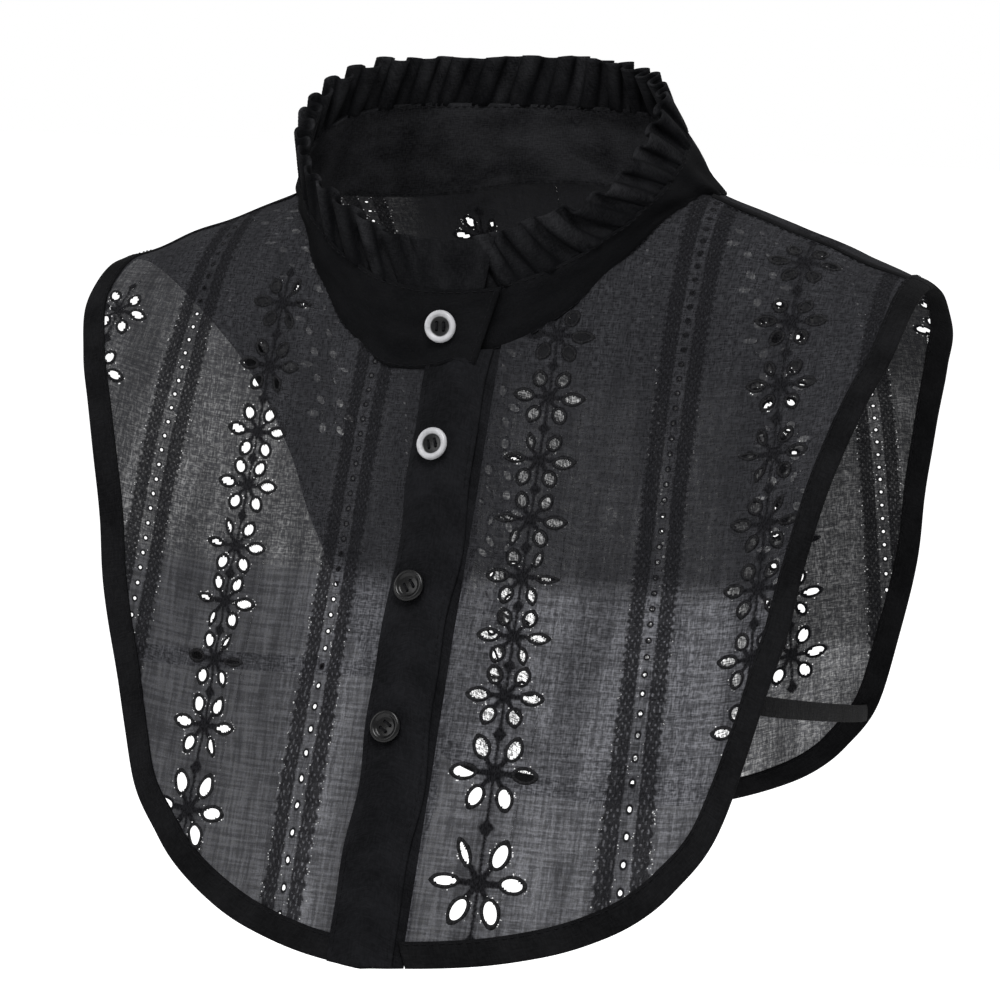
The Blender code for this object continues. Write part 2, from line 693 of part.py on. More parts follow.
def build():
    for old in list(bpy.data.objects):
        bpy.data.objects.remove(old, do_unlink=True)
    parts = bpy.data.collections.new("detachable_collar")
    cutters = bpy.data.collections.new("cutters")
    bpy.context.scene.collection.children.link(parts)
    bpy.context.scene.collection.children.link(cutters)
    voile = material("black_voile", (0.045, 0.045, 0.050), 0.9)
    cotton = material("black_cotton", (0.016, 0.016, 0.018), 0.85)
    bias = material("black_binding", (0.013, 0.013, 0.014), 0.8)
    elastic = material("black_elastic", (0.012, 0.012, 0.013), 0.75)
    pale = material("pale_button", (0.42, 0.42, 0.43), 0.3)
    black = material("black_button", (0.008, 0.008, 0.009), 0.15)

    right = front_panel("front_right", -1, right_inner(), voile, parts)
    left = front_panel("front_left", 1, left_inner(), voile, parts)
    back = back_panel("back", voile, parts)
    eyelets("eyelets_right", right, flowers(True, -1), cutters)
    eyelets("eyelets_left", left, flowers(True, 1), cutters)
    eyelets("eyelets_back", back, flowers(False, 1), cutters)
    bindings(bias, parts)

    half = PLACKET_WIDTH / 2
    lift = (BAND + GAP) / 2
    band("placket_over", -half, half, lift, cotton, parts)
    edge = half + UNDER_PEEP
    band("placket_under", edge - UNDER_WIDTH, edge, -lift, cotton, parts)

    sheet("collar_stand", stand_point, 52, 2, STAND_WALL, cotton, parts)
    sheet("neck_frill", frill_point, FRILL_FOLDS * 4, 2, FRILL_WALL, cotton, parts)

    finishes = {"pale": pale, "black": black}
    for number, (row, place) in enumerate(zip(BUTTONS, button_places()), start=1):
        button("button_%d" % number, place, finishes[row["finish"]], parts, cutters)
    strap("strap_left", 1, elastic, parts)
    strap("strap_right", -1, elastic, parts)


build()
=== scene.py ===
# %% [markdown]
# # A detachable collar in sheer embroidered cloth
#
# The object is a bib that lies on the shoulders: two thin fronts and one thin back, bound along their
# edges, a buttoned placket, a stand collar with a gathered frill, and an elastic on each side. The plain
# solids come in as a fixed frame, and each piece of cloth here stands for one of them, in the same place.

# %% Load the frame
import math

import bmesh
import bpy
import numpy as np
from mathutils import Matrix, Vector


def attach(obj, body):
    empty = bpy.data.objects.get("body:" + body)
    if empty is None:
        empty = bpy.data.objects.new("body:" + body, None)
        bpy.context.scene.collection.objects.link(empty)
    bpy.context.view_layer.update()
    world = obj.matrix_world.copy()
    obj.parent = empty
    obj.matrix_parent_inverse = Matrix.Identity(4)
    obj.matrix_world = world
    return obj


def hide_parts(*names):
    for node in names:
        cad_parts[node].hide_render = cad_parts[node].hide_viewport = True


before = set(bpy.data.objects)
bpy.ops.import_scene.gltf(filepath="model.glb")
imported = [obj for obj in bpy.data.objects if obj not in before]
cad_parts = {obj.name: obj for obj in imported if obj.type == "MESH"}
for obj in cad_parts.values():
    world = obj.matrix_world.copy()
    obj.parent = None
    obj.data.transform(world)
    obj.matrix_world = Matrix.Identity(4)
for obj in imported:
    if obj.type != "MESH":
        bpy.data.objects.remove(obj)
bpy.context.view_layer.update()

# %% [markdown]
# ## The camera and the light
#
# The collar is seen a little from its wearer's left and from just above. A long lens keeps the shoulders
# from spreading. The camera is built from three unit vectors, so that its slight roll is plain to read.
# A white world and broad lamps light black cloth well: small lamps would leave it without any form.

# %% Camera
AIM = Vector((-0.0038, 0.005, -0.08))
CAMERA_TURN = math.radians(19.0)
CAMERA_RISE = math.radians(8.0)
CAMERA_ROLL = math.radians(1.5)
CAMERA_AWAY = 1.2
FRAME_WIDE = 0.345
SENSOR = 36.0

toward = Vector((math.sin(CAMERA_TURN) * math.cos(CAMERA_RISE),
                 -math.cos(CAMERA_TURN) * math.cos(CAMERA_RISE), math.sin(CAMERA_RISE)))
level = Vector((math.cos(CAMERA_TURN), math.sin(CAMERA_TURN), 0.0))
upright = toward.cross(level)
right = level * math.cos(CAMERA_ROLL) + upright * math.sin(CAMERA_ROLL)
up = upright * math.cos(CAMERA_ROLL) - level * math.sin(CAMERA_ROLL)
lens = bpy.data.cameras.new("camera")
lens.sensor_width = SENSOR
lens.lens = SENSOR * CAMERA_AWAY / FRAME_WIDE
camera = bpy.data.objects.new("camera", lens)
bpy.context.scene.collection.objects.link(camera)
turned = Matrix((right, up, toward)).transposed().to_4x4()
camera.matrix_world = Matrix.Translation(AIM + toward * CAMERA_AWAY) @ turned
bpy.context.scene.camera = camera
print("lens:", round(lens.lens, 1), "mm")


# %% Lamps, world and floor
def lamp(name, place, size, power):
    light = bpy.data.lights.new(name, "AREA")
    light.size = size
    light.energy = power
    made = bpy.data.objects.new(name, light)
    bpy.context.scene.collection.objects.link(made)
    away = (Vector(place) - AIM).normalized()
    made.matrix_world = Matrix.Translation(place) @ away.to_track_quat("Z", "Y").to_matrix().to_4x4()


lamp("key", (0.5, -1.3, 1.7), 0.9, 24.0)
lamp("top", (0.05, -0.45, 0.85), 0.3, 2.6)
lamp("fill", (-1.4, -0.9, 0.6), 1.0, 6.0)
lamp("rim", (0.9, 1.3, 1.0), 1.0, 8.0)


def brightness(tree, socket, for_cloth, for_camera):
    """One strength for the light that falls on the cloth and another for what the camera sees."""
    seen = tree.nodes.new("ShaderNodeLightPath")
    strength = tree.nodes.new("ShaderNodeMapRange")
    tree.links.new(seen.outputs["Is Camera Ray"], strength.inputs["Value"])
    strength.inputs["To Min"].default_value = for_cloth
    strength.inputs["To Max"].default_value = for_camera
    tree.links.new(strength.outputs["Result"], socket)


world = bpy.data.worlds.new("studio")
world.use_nodes = True
sky = world.node_tree.nodes["Background"]
sky.inputs["Color"].default_value = (1.0, 1.0, 1.0, 1.0)
brightness(world.node_tree, sky.inputs["Strength"], 0.42, 1.0)
bpy.context.scene.world = world
bpy.context.scene.view_settings.view_transform = "Standard"

FLOOR_LEVEL = -0.55
FLOOR_HALF = 14.0
paper = bpy.data.materials.new("studio_paper")
paper.use_nodes = True
shader = paper.node_tree.nodes["Principled BSDF"]
shader.inputs["Base Color"].default_value = (0.97, 0.97, 0.97, 1.0)
shader.inputs["Roughness"].default_value = 1.0
shader.inputs["Emission Color"].default_value = (1.0, 1.0, 1.0, 1.0)
brightness(paper.node_tree, shader.inputs["Emission Strength"], 0.1, 0.75)
sheet_of_paper = bmesh.new()
bmesh.ops.create_grid(sheet_of_paper, x_segments=8, y_segments=8, size=FLOOR_HALF)
floor_mesh = bpy.data.meshes.new("floor")
sheet_of_paper.to_mesh(floor_mesh)
sheet_of_paper.free()
floor_mesh.materials.append(paper)
floor = bpy.data.objects.new("floor", floor_mesh)
floor.location = (0.0, 0.0, FLOOR_LEVEL)
bpy.context.scene.collection.objects.link(floor)

# %% [markdown]
# ## The sizes of the collar
#
# Cloth on a body could be simulated, but this collar is cut to fit and hangs still, so its shape comes
# from a few sizes. They are the sizes that the solids were built from, and the cloth drawn here follows
# the same surface. Lengths along the cloth start at its highest line, over the shoulders.

# %% Sizes shared by the pieces
SHOULDER_HALF = 0.147
RIDGE_HEIGHT = 0.055
SHOULDER_SLOPE = math.radians(21.4)
RIDGE_BACK = 0.012
RIDGE_SWEEP = 0.012
SHOULDER_ASIDE = -0.006
HEM_ASIDE = 0.0045
SEAM_FORWARD = 0.007
FRONT_FALL = math.radians(67.0)
FRONT_FALL_SIDE = math.radians(77.0)
FRONT_TURN = 0.0255
FRONT_TURN_SIDE = 0.077
BACK_FALL = math.radians(80.0)
BACK_TURN = 0.033
BACK_FALL_SIDE = math.radians(86.0)
BACK_TURN_BLADE = 0.074
BACK_TURN_SIDE = 0.066
BLADE_OUT = 0.8
FRONT_DROP = 0.2085
BACK_DROP = 0.204
CHEST_HALF = 0.117
BACK_HALF = 0.119
BACK_ROUND = 0.024
NECK_HALF = 0.079
NECK_FRONT = 0.107
NECK_BACK = 0.042
NECK_ASIDE = -0.008
NECK_SCOOP = 2.2
TOP_HALF = 0.067
TOP_DEEP = 0.0465
TOP_ASIDE = -0.008
TOP_FRONT_HEIGHT = -0.004
TOP_SIDE_HEIGHT = 0.040
TOP_BACK_HEIGHT = 0.055
TAB_TURN = math.radians(12.3)
LAP_TURN = math.radians(42.0)
BINDING_WIDTH = 0.007
PLACKET_WIDTH = 0.0215
UNDER_PEEP = 0.0036
UNDER_WIDTH = 0.0215
EDGE = (
    {"down": 0.000, "shoulder": 1.000, "chest": 1.000},
    {"down": 0.070, "shoulder": 0.920, "chest": 1.000},
    {"down": 0.150, "shoulder": 0.700, "chest": 1.000},
    {"down": 0.220, "shoulder": 0.515, "chest": 1.000},
    {"down": 0.300, "shoulder": 0.345, "chest": 1.000},
    {"down": 0.400, "shoulder": 0.170, "chest": 1.000},
    {"down": 0.510, "shoulder": 0.030, "chest": 1.000},
    {"down": 0.655, "shoulder": 0.000, "chest": 0.936},
    {"down": 0.800, "shoulder": 0.000, "chest": 0.855},
    {"down": 0.875, "shoulder": 0.000, "chest": 0.756},
    {"down": 0.920, "shoulder": 0.000, "chest": 0.667},
    {"down": 0.952, "shoulder": 0.000, "chest": 0.560},
    {"down": 0.977, "shoulder": 0.000, "chest": 0.420},
    {"down": 0.993, "shoulder": 0.000, "chest": 0.220},
    {"down": 1.000, "shoulder": 0.000, "chest": 0.000},
)
CORNER_ROW = 9
print("placket:", PLACKET_WIDTH * 1000, "mm wide")

# %% [markdown]
# ## The surface that all the cloth lies on
#
# Down from the shoulder the cloth turns steeper along a soft curve. The curve is summed in small steps
# for many places across the body, once, and kept as a table. Any point of the cloth is then read from the
# table by its distance out from the middle and its length down, thousands of points at a time.

# %% The fall of the cloth
STEP = 0.002
STEPS = 170
WIDE_STEPS = 120
WIDEST = 1.12


def fall_table(front):
    """For shares out from the middle: y and z steps reached at each length, before the shoulder's slope."""
    outs = np.linspace(0.0, WIDEST, WIDE_STEPS + 1)
    square = np.minimum(outs, 1.1) ** 2
    if front:
        steepest = FRONT_FALL + (FRONT_FALL_SIDE - FRONT_FALL) * square
        turn = FRONT_TURN + (FRONT_TURN_SIDE - FRONT_TURN) * square * square
        way = -1.0
    else:
        steepest = BACK_FALL + (BACK_FALL_SIDE - BACK_FALL) * square
        blade = BLADE_OUT ** 2
        turn = BACK_TURN * (square - blade) * (square - 1.0) / blade
        turn = turn + BACK_TURN_BLADE * square * (square - 1.0) / (blade * (blade - 1.0))
        turn = turn + BACK_TURN_SIDE * square * (square - blade) / (1.0 - blade)
        way = 1.0
    middles = (np.arange(STEPS) + 0.5) * STEP
    angles = steepest[:, None] * (1.0 - np.exp(-middles[None] / turn[:, None]))
    start = np.zeros((len(outs), 1))
    ys = np.concatenate([start, np.cumsum(np.cos(angles), axis=1)], axis=1) * STEP * way
    zs = -np.concatenate([start, np.cumsum(np.sin(angles), axis=1)], axis=1) * STEP
    return ys + (RIDGE_BACK + RIDGE_SWEEP * square)[:, None], zs


FALLS = {True: fall_table(True), False: fall_table(False)}


def read_fall(front, share, reach):
    ys, zs = FALLS[front]
    across = np.clip(share / WIDEST * WIDE_STEPS, 0.0, WIDE_STEPS - 1e-6)
    down = np.clip(reach / STEP, 0.0, STEPS - 1e-6)
    column, row = across.astype(int), down.astype(int)
    a, d = across - column, down - row
    found = []
    for table in (ys, zs):
        near = table[column, row] * (1 - d) + table[column, row + 1] * d
        far = table[column + 1, row] * (1 - d) + table[column + 1, row + 1] * d
        found.append(near * (1 - a) + far * a)
    return found


def plain_cloth(x, length):
    """Points of the smooth cloth; length is forward of the highest line, or behind it if negative."""
    x, length = np.broadcast_arrays(np.asarray(x, dtype=float), np.asarray(length, dtype=float))
    share = np.abs(x) / SHOULDER_HALF
    front_y, front_z = read_fall(True, share, np.abs(length))
    back_y, back_z = read_fall(False, share, np.abs(length))
    ahead = length >= 0.0
    y = np.where(ahead, front_y, back_y)
    aside = np.abs(x)
    aside = np.where(~ahead & (aside < BACK_ROUND), (aside * aside / BACK_ROUND + BACK_ROUND) / 2, aside)
    z = np.where(ahead, front_z, back_z) + RIDGE_HEIGHT - math.tan(SHOULDER_SLOPE) * aside
    return np.stack([x, y, z], axis=-1)


def unit(vectors):
    return vectors / np.maximum(np.linalg.norm(vectors, axis=-1, keepdims=True), 1e-12)


def cloth_out(x, length):
    """Outward normals of the smooth cloth."""
    x, length = np.broadcast_arrays(np.asarray(x, dtype=float), np.asarray(length, dtype=float))
    near = 0.001
    across = plain_cloth(x + near, length) - plain_cloth(x - near, length)
    down = plain_cloth(x, length + near) - plain_cloth(x, length - near)
    return unit(np.cross(across, -down))


print("reach at 0.2 m down the middle:", plain_cloth(0.0, 0.2).round(3))

# %% [markdown]
# ## The softness of thin cloth
#
# Voile never lies quite smooth. Long low waves run through it, and the tight embroidery draws it into
# short puckers. Both are a small height above the smooth surface. Sums of sines give the same waves each
# time, with no random numbers, and every piece that lies on the cloth reads the same height.

# %% Waves and puckers
SLOW_WAVES = (
    {"wide": 0.083, "down": 0.210, "start": 0.3, "high": 0.00042},
    {"wide": -0.061, "down": 0.094, "start": 1.9, "high": 0.00034},
    {"wide": 0.037, "down": -0.071, "start": 4.1, "high": 0.00024},
    {"wide": -0.026, "down": 0.160, "start": 2.7, "high": 0.00018},
    {"wide": 0.120, "down": 0.031, "start": 5.2, "high": 0.00016},
)
PUCKER_HIGH = 0.00022
PUCKER_LONG = 0.0067


def wave_height(x, length, pucker):
    """Height of the cloth above its smooth surface; pucker says how near embroidery is, 0 to 1."""
    height = np.zeros(np.broadcast(x, length).shape)
    for wave in SLOW_WAVES:
        turn = 2 * np.pi * (x / wave["wide"] + length / wave["down"]) + wave["start"]
        height = height + wave["high"] * np.sin(turn)
    drift = 1.6 * np.sin(x / 0.011) + 0.9 * np.sin(length / 0.023 + x / 0.004)
    height = height + pucker * PUCKER_HIGH * np.sin(2 * np.pi * length / PUCKER_LONG + drift)
    return height


def cloth(x, length, pucker=0.0, lift=0.0):
    x, length = np.broadcast_arrays(np.asarray(x, dtype=float), np.asarray(length, dtype=float))
    rise = wave_height(x, length, pucker) + lift
    return plain_cloth(x, length) + cloth_out(x, length) * rise[..., None]


# %% [markdown]
# ## The outlines of the cut cloth
#
# The edges are the same smooth curves through the table above. A fine grid is stretched between the four
# edges of each panel, so that its outer rows run along the bindings and its columns down the body.

# %% Outlines
def smooth_path(points, count):
    knots = np.array(points, dtype=float)
    ends = np.vstack([2 * knots[0] - knots[1], knots, 2 * knots[-1] - knots[-2]])
    fine = []
    for index in range(1, len(ends) - 2):
        before, start, end, after = ends[index - 1:index + 3]
        for share in np.linspace(0.0, 1.0, 14, endpoint=False):
            square = share * share
            cube = square * share
            fine.append(0.5 * ((2 * start) + (end - before) * share
                               + (2 * before - 5 * start + 4 * end - after) * square
                               + (3 * start - before - 3 * end + after) * cube))
    fine.append(knots[-1])
    return spread(fine, count)


def spread(points, count):
    line = np.array(points, dtype=float)
    lengths = np.concatenate([[0.0], np.cumsum(np.linalg.norm(np.diff(line, axis=0), axis=1))])
    places = np.linspace(0.0, lengths[-1], count)
    return np.stack([np.interp(places, lengths, line[:, axis]) for axis in range(line.shape[1])], axis=1)


def shoulder_end(side):
    return SHOULDER_HALF + side * SHOULDER_ASIDE


def length_at(x, z, front):
    lengths = np.arange(STEPS + 1) * STEP
    heights = plain_cloth(np.full(STEPS + 1, x), lengths if front else -lengths)[:, 2]
    return float(np.interp(-z, -heights, lengths)) * (1.0 if front else -1.0)


def outline(front, side):
    drop = FRONT_DROP if front else BACK_DROP
    half = CHEST_HALF if front else BACK_HALF
    tip = RIDGE_HEIGHT - math.tan(SHOULDER_SLOPE) * SHOULDER_HALF
    points = []
    for row in EDGE:
        x = half * row["chest"] + (shoulder_end(side) - half) * row["shoulder"]
        x += HEM_ASIDE * side * 4 * row["chest"] * (1 - row["chest"])
        points.append((x, length_at(x, tip - drop * row["down"], front)))
    if front:
        points[0] = (shoulder_end(side), SEAM_FORWARD)
    else:
        points[0] = (shoulder_end(side), 0.0)
        points.insert(0, (shoulder_end(side), SEAM_FORWARD))
    return points


def inward(line, front):
    ways = np.gradient(line, axis=0)
    ways /= np.linalg.norm(ways, axis=1)[:, None]
    return np.stack([-ways[:, 1], ways[:, 0]], axis=1) * (1.0 if front else -1.0)


def neckline(turn, spare=0.0):
    x = NECK_ASIDE + (NECK_HALF + spare) * math.sin(turn)
    ahead = math.cos(turn)
    if ahead >= 0.0:
        return x, (NECK_FRONT + spare) * ahead ** NECK_SCOOP
    return x, (NECK_BACK + spare) * ahead


def seam_turn(spare):
    return math.acos((SEAM_FORWARD / (NECK_FRONT + spare)) ** (1.0 / NECK_SCOOP))


OUTLINES = {}
for front in (True, False):
    for side in (1, -1):
        OUTLINES[front, side] = smooth_path(outline(front, side), 400)
print("front outline:", len(OUTLINES[True, 1]), "points")

# %% [markdown]
# ## The embroidery plan
#
# Columns of six-petalled flowers take turns with ladders, which are two dense bands with a row of small
# round holes between them. Both grow larger towards the hem. The plan is a short table of columns: how
# far out each lies and how far down its flowers are. Distances to the nearest petal, flower heart and
# ladder are worked out for each point of the cloth and kept on the mesh, for the material to read.

# %% Columns of flowers and ladders
COLUMN_FLARE = 0.29
GROWTH = 0.75
GROWTH_FROM = 0.185
GROWTH_OVER = 0.080
PETAL_LONG = 0.0050
PETAL_WIDE = 0.0029
SIDE_OUT = 0.0077
PAIR_OUT = 0.0039
PAIR_DOWN = 0.0060
PAIR_LEAN = math.radians(20.0)
HOLE_PITCH = 0.0051
COLUMNS = (
    {"front": True, "out": -0.137, "down": (0.0525, 0.0775, 0.0995)},
    {"front": True, "out": -0.1055, "down": None},
    {"front": True, "out": -0.072, "down": (0.0630, 0.0855, 0.1085, 0.1270,
     0.1480, 0.1670, 0.1865, 0.2085, 0.2365)},
    {"front": True, "out": -0.031, "down": None},
    {"front": True, "out": 0.031, "down": (0.0845, 0.1060, 0.1275,
     0.1475, 0.1665, 0.1860, 0.2055, 0.2305, 0.2655)},
    {"front": True, "out": 0.072, "down": None},
    {"front": True, "out": 0.1055, "down": (0.0235, 0.0490, 0.0720, 0.0955, 0.1185, 0.1400, 0.1625, 0.1850)},
    {"front": True, "out": 0.137, "down": None},
    {"front": False, "out": -0.137, "down": None},
    {"front": False, "out": -0.1055, "down": (0.0150, 0.0375, 0.0595, 0.0810, 0.1020, 0.1230)},
    {"front": False, "out": -0.072, "down": None},
    {"front": False, "out": -0.031, "down": (0.0600, 0.0820, 0.1035,
     0.1245, 0.1450, 0.1650, 0.1850, 0.2065, 0.2330)},
    {"front": False, "out": 0.031, "down": None},
    {"front": False, "out": 0.072, "down": (0.0430, 0.0650, 0.0865,
     0.1075, 0.1280, 0.1480, 0.1680, 0.1880, 0.2110)},
    {"front": False, "out": 0.1055, "down": None},
    {"front": False, "out": 0.137, "down": (0.0325, 0.0545, 0.0760)},
)


def growth(length):
    share = np.clip((np.abs(length) - GROWTH_FROM) / GROWTH_OVER, 0.0, 1.0)
    return 1.0 + GROWTH * share * share * (3 - 2 * share)


def level_down(x, length):
    """Down the cloth's straight grain: level lines climb towards the neck along the slope of the shoulder."""
    return np.abs(length) + math.tan(SHOULDER_SLOPE) * np.abs(x)


def column_x(out, length):
    return out * (1.0 + COLUMN_FLARE * (np.abs(length) - 0.1))


def edge_distance(x, length, front):
    """How far points lie inside the outline of their panel, negative outside it."""
    line = OUTLINES[front, 1 if x > 0 else -1]
    clear = float(np.min(np.hypot(line[:, 0] - abs(x), line[:, 1] - length)))
    inside = abs(x) < np.interp(abs(length), np.abs(line[:, 1]), line[:, 0])
    return clear if inside else -clear


def neck_length(x, front):
    share = (x - NECK_ASIDE) / NECK_HALF
    if abs(share) >= 1.0:
        return 0.0
    ahead = math.sqrt(1.0 - share * share)
    return NECK_FRONT * ahead ** NECK_SCOOP if front else NECK_BACK * ahead


def flower_list(front, side):
    """Flowers of one panel: x, distance down the grain, size, column and the distance to the next."""
    found = []
    for column in COLUMNS:
        if column["front"] != front or column["down"] is None or column["out"] * side < 0:
            continue
        places = column["down"]
        gaps = [after - before for before, after in zip(places, places[1:])]
        for length, before, after in zip(places, [gaps[0]] + gaps, gaps + [gaps[-1] * 1.1]):
            x = float(column_x(column["out"], length))
            if edge_distance(x, length if front else -length, front) > BINDING_WIDTH - 0.006:
                size = float(growth(length)) ** 0.5
                found.append((x, float(level_down(x, length)), size, column["out"], before, after))
    return found


def petals_of(flowers):
    """Petals as rows of x, distance down the grain, angle of the long axis, half length and half width."""
    rows = []
    for number, (x, down, size, out, _, _) in enumerate(flowers):
        lean = math.atan(out * COLUMN_FLARE)
        for across, way in ((-1, 0), (1, 0), (-1, -1), (1, -1), (-1, 1), (1, 1)):
            wobble = math.sin(number * 12.9898 + across * 4.1 + way * 7.7 + out * 90.0)
            closing = math.sin(number * 7.31 + across * 2.3 + way * 5.9 + out * 40.0)
            if way == 0:
                place = (across * SIDE_OUT * size, 0.0003 * wobble)
                angle = across * math.radians(90.0) + math.radians(5.0) * wobble
                long_half = PETAL_LONG / 2 * size * (1.0 + 0.06 * wobble)
                wide_half = PETAL_WIDE / 2 * size ** 1.5 * 0.92
            else:
                place = (across * (PAIR_OUT + 0.0004 * wobble) * size, way * PAIR_DOWN * size ** 1.45)
                angle = across * way * PAIR_LEAN + math.radians(7.0) * wobble + (math.pi if way < 0 else 0.0)
                long_half = PETAL_LONG / 2 * size ** 2.2 * 0.80
                wide_half = PETAL_WIDE / 2 * size * 1.02
            narrow = 1.0 - 0.62 * max(0.0, closing - 0.55) / 0.45
            px = x + place[0] + place[1] * math.tan(lean)
            rows.append((px, down + place[1], angle, long_half, wide_half * narrow))
    return np.array(rows)


def petal_frame(x, down, row):
    """Places along a petal's long axis and across it."""
    u, v = x - row[0], down - row[1]
    return u * math.sin(row[2]) + v * math.cos(row[2]), u * math.cos(row[2]) - v * math.sin(row[2])


PANELS = {"front_right": (True, -1), "front_left": (True, 1), "back": (False, 0)}
FLOWERS = {name: flower_list(*where) for name, where in PANELS.items()}
PETALS = {name: petals_of(flowers) for name, flowers in FLOWERS.items()}
print({name: len(rows) for name, rows in PETALS.items()}, "petals")


# %% Distances that the embroidery needs
def capsule(p, q, ax, ay, bx, by, radius):
    """Distance to a rounded bar between two points, in millimetres."""
    dx, dy = bx - ax, by - ay
    share = np.clip(((p - ax) * dx + (q - ay) * dy) / (dx * dx + dy * dy), 0.0, 1.0)
    return np.hypot(p - ax - dx * share, q - ay - dy * share) - radius


def plan(name, x, length):
    """For points of a panel: distance to the nearest petal, to the flowers' solid stitching and to the
    ladder's middle, all in millimetres, and how far along its ladder each point is, in holes."""
    front = name != "back"
    down = level_down(x, length)
    petal = np.full(x.shape, 9.0)
    for row in PETALS[name]:
        near = np.abs(x - row[0]) + np.abs(down - row[1]) < 0.016
        along, across = petal_frame(x[near], down[near], row)
        share = np.hypot(along / row[3], across / row[4])
        reach = np.hypot(along, across)
        petal[near] = np.minimum(petal[near], (reach - reach / np.maximum(share, 1e-6)) * 1000)
    solid = np.full(x.shape, 9.0)
    for fx, fd, size, out, before, after in FLOWERS[name]:
        near = np.abs(x - fx) + np.abs(down - fd) < 0.040
        q = (down[near] - fd) * 1000
        p = (x[near] - fx) * 1000 - q * out * COLUMN_FLARE
        shape = np.hypot(p, q) - 2.1 * size
        for across in (-1, 1):
            shape = np.minimum(shape, capsule(p, q, 0, 0, across * SIDE_OUT * 620 * size, 0, 0.8 * size))
            for way in (-1, 1):
                tip = (across * PAIR_OUT * 700 * size, way * PAIR_DOWN * 620 * size ** 1.45)
                shape = np.minimum(shape, capsule(p, q, 0, 0, *tip, 0.7 * size))
        for way, gap in ((-1, before), (1, after)):
            half_gap = gap * 500
            shape = np.minimum(shape, capsule(p, q, 0, 0, 0, way * half_gap, 0.45))
            diamond = (np.abs(p) / 1.9 + np.abs(q - way * half_gap) / 2.5 - size) * 1.5
            shape = np.minimum(shape, diamond)
        solid[near] = np.minimum(solid[near], shape)
    ladder = np.full(x.shape, 30.0)
    swell = growth(length)
    for column in COLUMNS:
        if column["front"] == front and column["down"] is None:
            away = (x - column_x(column["out"], length)) * 1000 / swell ** 0.3
            ladder = np.where(np.abs(away) < np.abs(ladder), away, ladder)
    lengths = np.linspace(0.0, 0.40, 401)
    holes = np.concatenate([[0.0], np.cumsum(np.diff(lengths) / growth(lengths[1:]))]) / HOLE_PITCH
    return petal, solid, ladder, np.interp(down, lengths, holes)


# %% [markdown]
# ## Building a mesh from arrays
#
# Every piece of cloth is a grid or a tube of points worked out with arrays, so one helper makes the mesh:
# points, faces, a flat map in metres for the weave, and any values that the material reads by name. The
# faces of a grid are also a pattern of numbers, so they need no loop.

# %% Mesh helpers
def grid_faces(rows, columns, round_rows=False, round_columns=False):
    """Faces of a grid of points, which may close on itself either way."""
    r = np.arange(rows if round_rows else rows - 1)
    c = np.arange(columns if round_columns else columns - 1)
    r, c = np.meshgrid(r, c, indexing="ij")
    r2, c2 = (r + 1) % rows, (c + 1) % columns
    corners = (r * columns + c, r * columns + c2, r2 * columns + c2, r2 * columns + c)
    return np.stack(corners, axis=-1).reshape(-1, 4)


def piece(name, points, faces, material, stands_for=(), flat_map=None, values=None):
    """A mesh object that rides with the collar and, where named, stands for its solid."""
    mesh = bpy.data.meshes.new(name)
    points = np.asarray(points, dtype=float).reshape(-1, 3)
    mesh.from_pydata(points.tolist(), [], np.asarray(faces).tolist())
    if flat_map is not None:
        corners = np.zeros(len(mesh.loops), dtype=np.int32)
        mesh.loops.foreach_get("vertex_index", corners)
        layer = mesh.uv_layers.new(name="flat")
        layer.data.foreach_set("uv", np.asarray(flat_map, dtype=np.float32).reshape(-1, 2)[corners].ravel())
    for key, numbers in (values or {}).items():
        kept = mesh.attributes.new(key, "FLOAT", "POINT")
        kept.data.foreach_set("value", np.asarray(numbers, dtype=np.float32).ravel())
    mesh.shade_smooth()
    mesh.materials.append(material)
    made = bpy.data.objects.new(name, mesh)
    bpy.context.scene.collection.objects.link(made)
    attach(made, "root")
    if stands_for:
        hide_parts(*stands_for)
    print(name, len(points), "points")
    return made


def map_of(u, v):
    """A flat map from two arrays of lengths in metres."""
    return np.stack(np.broadcast_arrays(u, v), axis=-1)


def close_ends(made, turn_out=False):
    """Close the two open ends of a flattened tube, and turn its faces outwards where asked."""
    ends = bmesh.new()
    ends.from_mesh(made.data)
    bmesh.ops.holes_fill(ends, edges=[edge for edge in ends.edges if edge.is_boundary], sides=0)
    if turn_out:
        bmesh.ops.recalc_face_normals(ends, faces=ends.faces)
    ends.to_mesh(made.data)
    ends.free()


def joined_tubes(name, batches, material):
    """One mesh of many small tubes, each batch as points (tube, along, round, 3) and their flat map."""
    points, faces, maps = [], [], []
    count = 0
    for tubes, flat_map in batches:
        many, rows, columns = tubes.shape[:3]
        starts = count + np.arange(many)[:, None, None] * rows * columns
        points.append(tubes.reshape(-1, 3))
        faces.append((grid_faces(rows, columns, round_columns=True)[None] + starts).reshape(-1, 4))
        maps.append(flat_map.reshape(-1, 2))
        count += many * rows * columns
    return piece(name, np.concatenate(points), np.concatenate(faces), material,
                 flat_map=np.concatenate(maps))


def lay_on(lines, shares):
    line = np.asarray(lines)
    places = np.asarray(shares) * (len(line) - 1)
    low = np.minimum(places.astype(int), len(line) - 2)
    return line[low] + (line[low + 1] - line[low]) * (places - low)[:, None]


def coons(top, bottom, first, last, columns, rows):
    """A grid of (x, length) between four edges."""
    across = np.linspace(0.0, 1.0, columns)
    down = np.linspace(0.0, 1.0, rows)
    a, d = across[None, :, None], down[:, None, None]
    grid = (1 - d) * lay_on(top, across)[None] + d * lay_on(bottom, across)[None]
    grid = grid + (1 - a) * lay_on(first, down)[:, None] + a * lay_on(last, down)[:, None]
    corners = (1 - a) * ((1 - d) * top[0] + d * bottom[0]) + a * ((1 - d) * top[-1] + d * bottom[-1])
    return grid - corners


